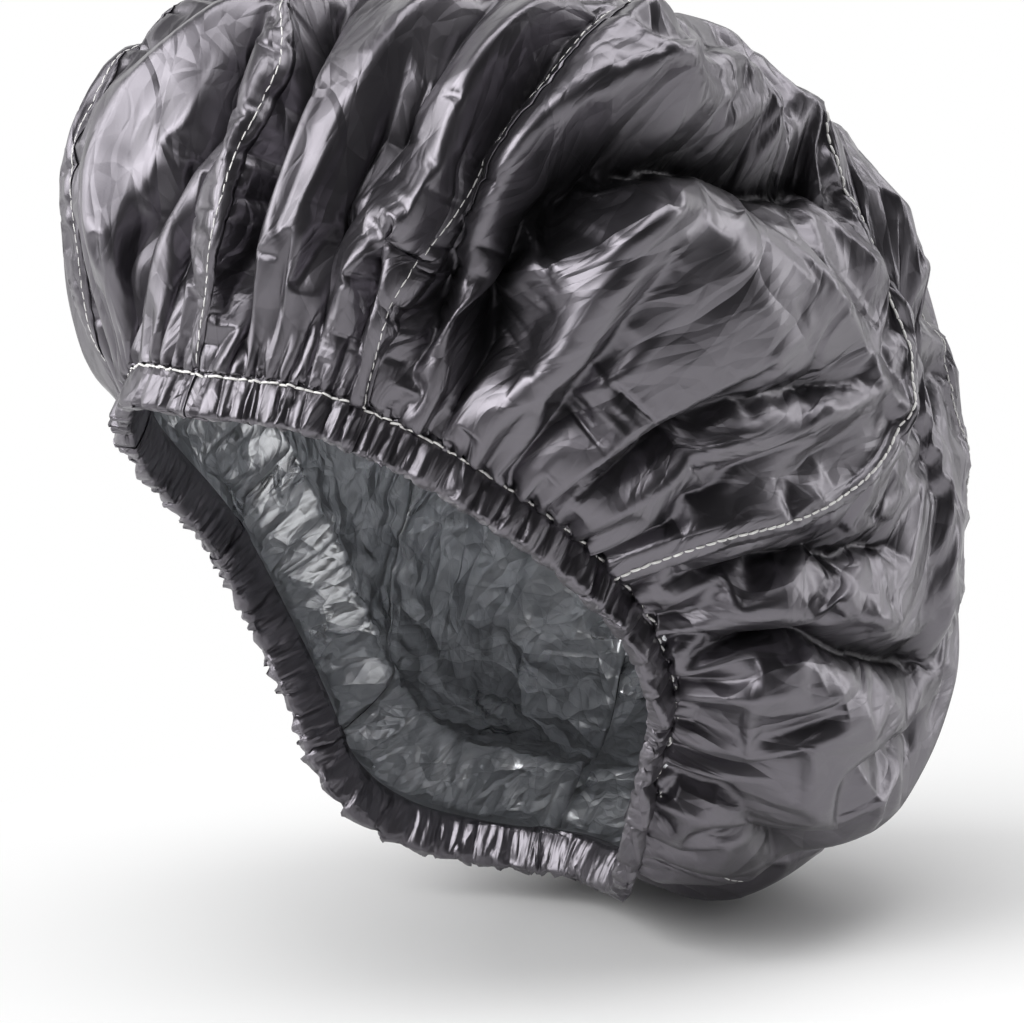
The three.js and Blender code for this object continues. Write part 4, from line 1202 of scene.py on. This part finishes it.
def stitchShape():
    sides, outline = stitch["sides"], stitch["outline"]
    points = []
    for along, size, high in outline:
        for k in range(sides):
            t = 2 * math.pi * k / sides
            points.append((along, 0.5 * size * math.cos(t), 0.5 * size * math.sin(t) + high))
    ends = [tuple(range(sides))[::-1], tuple(range((len(outline) - 1) * sides, len(outline) * sides))]
    mesh = bpy.data.meshes.new("stitchShape")
    mesh.from_pydata(points, [], ends + gridFaces(len(outline), sides, ringRows=True).tolist())
    mesh.polygons.foreach_set("use_smooth", np.ones(len(mesh.polygons), bool))
    return mesh


# sets the stitch on every stop, turned along its line and out of the film, with a little spread
def stitchTree():
    tree = bpy.data.node_groups.new("stitchRun", "GeometryNodeTree")
    tree.interface.new_socket("Geometry", in_out="OUTPUT", socket_type="NodeSocketGeometry")
    kinds = {
        "Geometry": "Geometry", "Stitch": "Object", "Length": "Float", "Diameter": "Float",
        "Turn Spread": "Float", "Size Spread": "Float", "Seed": "Int", "Material": "Material",
    }
    sockets = {
        name: tree.interface.new_socket(name, in_out="INPUT", socket_type=f"NodeSocket{kind}").identifier
        for name, kind in kinds.items()
    }
    given = addNode(tree, "NodeGroupInput").outputs

    def read(name):
        kind = "GeometryNodeInputNamedAttribute"
        return addNode(tree, kind, {"Name": name}, data_type="FLOAT_VECTOR").outputs[0]

    inputs = {"Vector": read("stitchAlong")}
    turn = addNode(tree, "FunctionNodeAlignRotationToVector", inputs, axis="X").outputs[0]
    inputs = {"Rotation": turn, "Vector": read("stitchUp")}
    turn = addNode(tree, "FunctionNodeAlignRotationToVector", inputs, axis="Z", pivot_axis="X").outputs[0]
    x, y, z = stitch["turnShares"]
    inputs = {"Seed": given["Seed"]}
    for bound, most in (("Min", (-x, -y, -z)), ("Max", (x, y, z))):
        scaled = {0: most, "Scale": given["Turn Spread"]}
        inputs[bound] = addNode(tree, "ShaderNodeVectorMath", scaled, operation="SCALE").outputs[0]
    spin = addNode(tree, "FunctionNodeRandomValue", inputs, data_type="FLOAT_VECTOR").outputs[0]
    inputs = {"Rotation": turn, "Rotate By": spin}
    turn = addNode(tree, "FunctionNodeRotateRotation", inputs, rotation_space="LOCAL").outputs[0]

    # the inputs numbered 2 and 3 are the least and the most of a plain random number
    inputs = {"Seed": given["Seed"]}
    for bound, sign in ((2, -1), (3, 1)):
        inputs[bound] = calculate(tree, "MULTIPLY_ADD", given["Size Spread"], sign, 1)
    vary = addNode(tree, "FunctionNodeRandomValue", inputs, data_type="FLOAT").outputs[1]
    inputs = {0: given["Length"], 1: given["Diameter"], 2: given["Diameter"]}
    size = addNode(tree, "ShaderNodeCombineXYZ", inputs).outputs[0]
    size = addNode(tree, "ShaderNodeVectorMath", {0: size, "Scale": vary}, operation="SCALE").outputs[0]
    shape = addNode(tree, "GeometryNodeObjectInfo", {"Object": given["Stitch"]}).outputs["Geometry"]
    inputs = {"Points": given["Geometry"], "Instance": shape, "Rotation": turn, "Scale": size}
    stitches = addNode(tree, "GeometryNodeInstanceOnPoints", inputs).outputs[0]
    stitches = addNode(tree, "GeometryNodeRealizeInstances", {"Geometry": stitches}).outputs[0]
    inputs = {"Geometry": stitches, "Material": given["Material"]}
    stitches = addNode(tree, "GeometryNodeSetMaterial", inputs).outputs[0]
    addNode(tree, "NodeGroupOutput", {"Geometry": stitches})
    return tree, sockets


stitchSource = bpy.data.objects.new("stitchShape", stitchShape())
stitchGroup, stitchSockets = stitchTree()


# even places along a sewn line, with the way along it and the way out of the film
def evenStops(points, normals, closed):
    if closed:
        points, normals = np.concatenate([points, points[:1]]), np.concatenate([normals, normals[:1]])
    pitch, run = stitch["pitch"], runningLength(points)
    count = max(2, int(round(run[-1] / pitch)))
    at = (np.arange(count) + 0.5) / count * run[-1]

    def read(values, where):
        return np.stack([np.interp(where, run, values[:, k]) for k in range(3)], axis=-1)

    ahead, behind = np.minimum(at + pitch / 2, run[-1]), np.maximum(at - pitch / 2, 0)
    return read(points, at), unit(read(points, ahead) - read(points, behind)), unit(read(normals, at))


def stitchPiece(name, stops, along, upward, diameter):
    mesh = bpy.data.meshes.new(name + "Stops")
    mesh.from_pydata((stops * mm).tolist(), [], [])
    for attribute, values in (("stitchAlong", along), ("stitchUp", upward)):
        made = mesh.attributes.new(attribute, "FLOAT_VECTOR", "POINT")
        made.data.foreach_set("vector", values.reshape(-1).astype(np.float32))
    run = linkedObject(name + "Stops", mesh)
    modifier = run.modifiers.new("stitches", "NODES")
    modifier.node_group = stitchGroup
    given = {
        "Stitch": stitchSource, "Length": stitch["length"] * mm, "Diameter": diameter * mm,
        "Turn Spread": stitch["turnSpread"], "Size Spread": stitch["sizeSpread"], "Seed": stitch["seed"],
        "Material": threadMaterial,
    }
    for key, value in given.items():
        modifier[stitchSockets[key]] = value
    graph = bpy.context.evaluated_depsgraph_get()
    made = bpy.data.meshes.new_from_object(run.evaluated_get(graph), depsgraph=graph)
    bpy.data.objects.remove(run)
    made.name = name
    return linkedObject(name, made)


stitchSource.hide_render = True
bpy.context.scene.collection.objects.link(stitchSource)
lapMiddle = hem["lapColumns"] / 2
for gore in range(cap["gores"]):
    column = gore * perGore + lapMiddle
    low, high = int(math.floor(column)), int(math.ceil(column))
    rows = slice(stitch["seamStart"], bodyRows)
    line = (wholeFilm[low, rows] + wholeFilm[high, rows]) / 2
    outward = unit(filmNormals[low, rows] + filmNormals[high, rows])
    line = line + outward * (hem["lapLift"] + stitch["seamLift"][gore])
    stops = evenStops(line, outward, False)
    piece = stitchPiece(f"seam_stitches_{gore + 1}", *stops, stitch["seamDiameter"][gore])
    placed(piece, f"seam_thread_{gore + 1}")

line, outward = wholeFilm[:, bodyRows], filmNormals[:, bodyRows]
lapped = (np.arange(len(line)) % perGore <= hem["lapColumns"]) * hem["lapLift"]
line = line + outward * (lapped + stitch["hemLift"])[:, None]
piece = stitchPiece("hem_stitches", *evenStops(line, outward, True), stitch["diameter"])
placed(piece, "hem_thread")
bpy.data.objects.remove(stitchSource)
report("stitches")

# crown tack: a pad of thread wound over the tips of the gores, with a stem and a flange under the lining
tack = {
    "radius": 7.5,
    "domeHeight": 1.8,
    "edgeHeight": 0.6,
    "stemRadius": 2.8,
    "flangeRadius": 6,
    "flangeHeight": 1,
    "strands": 54,
    "strandHeight": 0.22,
    "strandTwist": 0.5,         # radians that a strand turns between the middle and the edge
    "strandPower": 0.7,         # less than 1 makes the strands rounder
    "strandSizes": (0.5, 1),
    "seed": 5,
    "spread": 6,                # the higher, the nearer the edge the strands begin to stand out sideways
    "knotRadius": 1.5,
    "knotHeight": 0.5,
    "sides": 432,
    "undersideStops": 4,
    "step": 0.6,                # share of the radius where the pad's underside has a ring of its own
    "domeTurn": 1.5,            # radians from the edge up to the last ring round the middle
    "domeStops": 26,
}


# radius and height of each ring, from the middle of the flange round to the top, and where the dome begins
def tackProfile(low, top):
    rim = top + tack["edgeHeight"]
    dome = tack["domeHeight"] - tack["edgeHeight"] - tack["strandHeight"] - tack["knotHeight"]
    flange, stem, stops = tack["flangeRadius"], tack["stemRadius"], tack["undersideStops"]
    profile = [(flange * k / stops, low) for k in range(1, stops + 1)]
    profile += [(flange, low + tack["flangeHeight"]), (stem, low + tack["flangeHeight"])]
    profile += [(stem, top), (tack["radius"] * tack["step"], top), (tack["radius"], top)]
    underside = len(profile)
    turns = np.linspace(0, tack["domeTurn"], tack["domeStops"])
    profile += [(tack["radius"] * math.cos(t), rim + dome * math.sin(t)) for t in turns]
    return np.array(profile), underside


def crownTack():
    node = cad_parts["crown_tack"].data
    flat = np.zeros(len(node.vertices) * 3)
    node.vertices.foreach_get("co", flat)
    heights = (flat.reshape(-1, 3) / mm - bodyCentre) @ crownDirection
    profile, underside = tackProfile(heights.min(), heights.max() - tack["domeHeight"])
    angles = np.linspace(0, 2 * np.pi, tack["sides"], endpoint=False)
    radius, height = profile[:, 0], profile[:, 1].copy()
    onDome = np.arange(len(profile)) >= underside
    wound = onDome * smooth(0, tack["knotRadius"], radius)
    twist = radius / tack["radius"] * tack["strandTwist"] * tack["strands"]
    phase = angles[:, None] * tack["strands"] + twist
    strand = np.floor(phase / (2 * np.pi)).astype(int) % tack["strands"]
    uneven = np.random.default_rng(tack["seed"]).uniform(*tack["strandSizes"], tack["strands"])[strand]
    ridge = tack["strandHeight"] * wound * np.abs(np.sin(phase / 2)) ** tack["strandPower"] * uneven
    knot = tack["knotHeight"] * np.clip(1 - (radius / tack["knotRadius"]) ** 2, 0, 1) * onDome
    side = np.array([1.0, 0, 0])
    other = np.cross(crownDirection, side)
    ways = np.cos(angles)[:, None] * side + np.sin(angles)[:, None] * other
    lifted = height + ridge + knot
    reach = radius + ridge * (radius / tack["radius"]) ** tack["spread"]
    points = bodyCentre + ways[:, None] * reach[..., None] + crownDirection * lifted[..., None]
    sides, rings = points.shape[:2]
    bottom, summit = sides * rings, sides * rings + 1
    i, j = np.arange(sides), (np.arange(sides) + 1) % sides
    faces = gridFaces(sides, rings, ringColumns=True, turned=True).tolist()
    faces += [(bottom, b * rings, a * rings) for a, b in zip(i, j)]
    faces += [(summit, a * rings + rings - 1, b * rings + rings - 1) for a, b in zip(i, j)]
    ends = [bodyCentre + crownDirection * profile[0, 1], bodyCentre + crownDirection * (lifted[:, -1].mean())]
    return solidPiece("crown_pad", np.vstack([points.reshape(-1, 3), ends]), faces, threadMaterial)


placed(crownTack(), "crown_tack")
report("crown tack")

# floor, backdrop, light and camera
look = {
    "azimuth": 42,
    "elevation": 10,
    "target": (0, 48, 41),
    "distance": 1600,
    "below": 17.2,     # how far the image centre lies below the target
    "aside": 0.4,      # and to its left
    "lens": 189.6,
    "sensor": 36,
    "floor": 0.8,
    "floorRoughness": 0.8,
    "floorHalf": 6,                # metres
    "shadowCentre": (0.12, 0.12),  # metres across and away on the floor
    "shadowReach": (0.14, 0.36),
    "glossReach": (0.35, 1.2),
    "world": 0.33,
    "ceiling": 0.08,             # what is seen overhead, above the white backdrop
    "backdropTop": (0.35, 0.85), # rise of a view's direction where the backdrop ends
    "room": 0.03,                # what gloss shows of the room on the camera's side
    "roomReach": (-0.3, 0.25),
    "lightAim": (0, 0.05, 0.04),
    # name, place across, towards the camera and up in metres, size in metres, power in watts
    "softboxes": [
        ("keyLeft", (-1.5, 0.1, 0.6), (1.2, 1.3), 13),
        ("frontLeft", (-1.05, 0.8, 0.8), (1.1, 1.0), 16),
        ("canopy", (0.1, 0.15, 1.6), (1.5, 1.0), 17),
        ("topBack", (0.85, -0.6, 1.2), (1.0, 0.6), 5),
        ("stripRight", (1.25, -0.35, 0.35), (0.25, 1.3), 3),
    ],
}
azimuth, elevation = math.radians(look["azimuth"]), math.radians(look["elevation"])
sinA, cosA, sinE, cosE = math.sin(azimuth), math.cos(azimuth), math.sin(elevation), math.cos(elevation)
across, toward = Vector((cosA, sinA, 0)), Vector((sinA, -cosA, 0))
back = Vector((sinA * cosE, -cosA * cosE, sinE))
upward = Vector((-sinA * sinE, cosA * sinE, cosE))
aim = (Vector(look["target"]) - upward * look["below"] - across * look["aside"]) * mm
cameraData = bpy.data.cameras.new("camera")
cameraData.lens = look["lens"]
cameraData.sensor_width = look["sensor"]
camera = linkedObject("camera", cameraData)
camera.location = aim + back * look["distance"] * mm
camera.rotation_euler = (-back).to_track_quat("-Z", "Y").to_euler()
bpy.context.scene.camera = camera

lowest = float(wholeFilm[..., 2].min()) * mm
half = look["floorHalf"]
corners = [(-half, -half, lowest), (half, -half, lowest), (half, half, lowest), (-half, half, lowest)]
floorMesh = bpy.data.meshes.new("floor")
floorMesh.from_pydata(corners, [], [(0, 1, 2, 3)])
floor = linkedObject("floor", floorMesh)


# 1 for rays from the camera, in gloss and through glass, and the share that is gloss
def seenRays(tree):
    rays = addNode(tree, "ShaderNodeLightPath").outputs
    seen = calculate(tree, "MAXIMUM", rays["Is Camera Ray"], rays["Is Glossy Ray"])
    return calculate(tree, "MAXIMUM", seen, rays["Is Transmission Ray"]), rays["Is Glossy Ray"]


# how bright the backdrop is in gloss: white beyond the object, dim on the camera's side
def backdropInGloss(tree, way, inGloss):
    toCamera = vectorMath(tree, "DOT_PRODUCT", way, tuple(toward))["Value"]
    return mixed(tree, inGloss, 1.0, ranged(tree, toCamera, *look["roomReach"], 1, look["room"]))


floorMaterial, tree, shader = newMaterial("paleFloor")
shader.inputs["Base Color"].default_value = (look["floor"],) * 3 + (1,)
shader.inputs["Roughness"].default_value = look["floorRoughness"]
seen, inGloss = seenRays(tree)
place = addNode(tree, "ShaderNodeTexCoord").outputs["Object"]
shadowPlace = look["shadowCentre"] + (lowest,)
away = vectorMath(tree, "DISTANCE", place, shadowPlace)["Value"]
near = ranged(tree, away, *look["shadowReach"], 0, 1)
far = ranged(tree, away, *look["glossReach"], 0, 1)
share = calculate(tree, "MULTIPLY", seen, mixed(tree, inGloss, near, far))
way = vectorMath(tree, "NORMALIZE", vectorMath(tree, "SUBTRACT", place, shadowPlace)[0])[0]
strength = backdropInGloss(tree, way, inGloss)
white = addNode(tree, "ShaderNodeEmission", {"Color": (1, 1, 1, 1), "Strength": strength}).outputs[0]
both = addNode(tree, "ShaderNodeMixShader", {0: share, 1: shader.outputs[0], 2: white}).outputs[0]
fromBelow = addNode(tree, "ShaderNodeNewGeometry").outputs["Backfacing"]
clear = addNode(tree, "ShaderNodeBsdfTransparent").outputs[0]
both = addNode(tree, "ShaderNodeMixShader", {0: fromBelow, 1: both, 2: clear}).outputs[0]
tree.links.new(both, tree.nodes["Material Output"].inputs["Surface"])
floorMesh.materials.append(floorMaterial)

# the backdrop round the object is white to the camera, in gloss and through glass, and lights the object less
world = bpy.data.worlds.new("studio")
bpy.context.scene.world = world
world.use_nodes = True
tree = world.node_tree
seen, inGloss = seenRays(tree)
way = addNode(tree, "ShaderNodeTexCoord").outputs["Generated"]
rising = addNode(tree, "ShaderNodeSeparateXYZ", {0: way}).outputs[2]
backdrop = ranged(tree, rising, *look["backdropTop"], 1, look["ceiling"])
backdrop = calculate(tree, "MULTIPLY", backdrop, backdropInGloss(tree, way, inGloss))
strength = mixed(tree, seen, look["world"], backdrop)
tree.links.new(strength, tree.nodes["Background"].inputs["Strength"])
tree.nodes["Background"].inputs["Color"].default_value = (1, 1, 1, 1)


for name, (right, near, up), size, power in look["softboxes"]:
    data = bpy.data.lights.new(name, "AREA")
    data.shape = "RECTANGLE"
    data.size, data.size_y = size
    data.energy = power
    lamp = linkedObject(name, data)
    lamp.location = across * right + toward * near + Vector((0, 0, up))
    lamp.rotation_euler = (Vector(look["lightAim"]) - lamp.location).to_track_quat("-Z", "Y").to_euler()

bpy.context.scene.view_settings.view_transform = "Standard"
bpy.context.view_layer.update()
report("done")
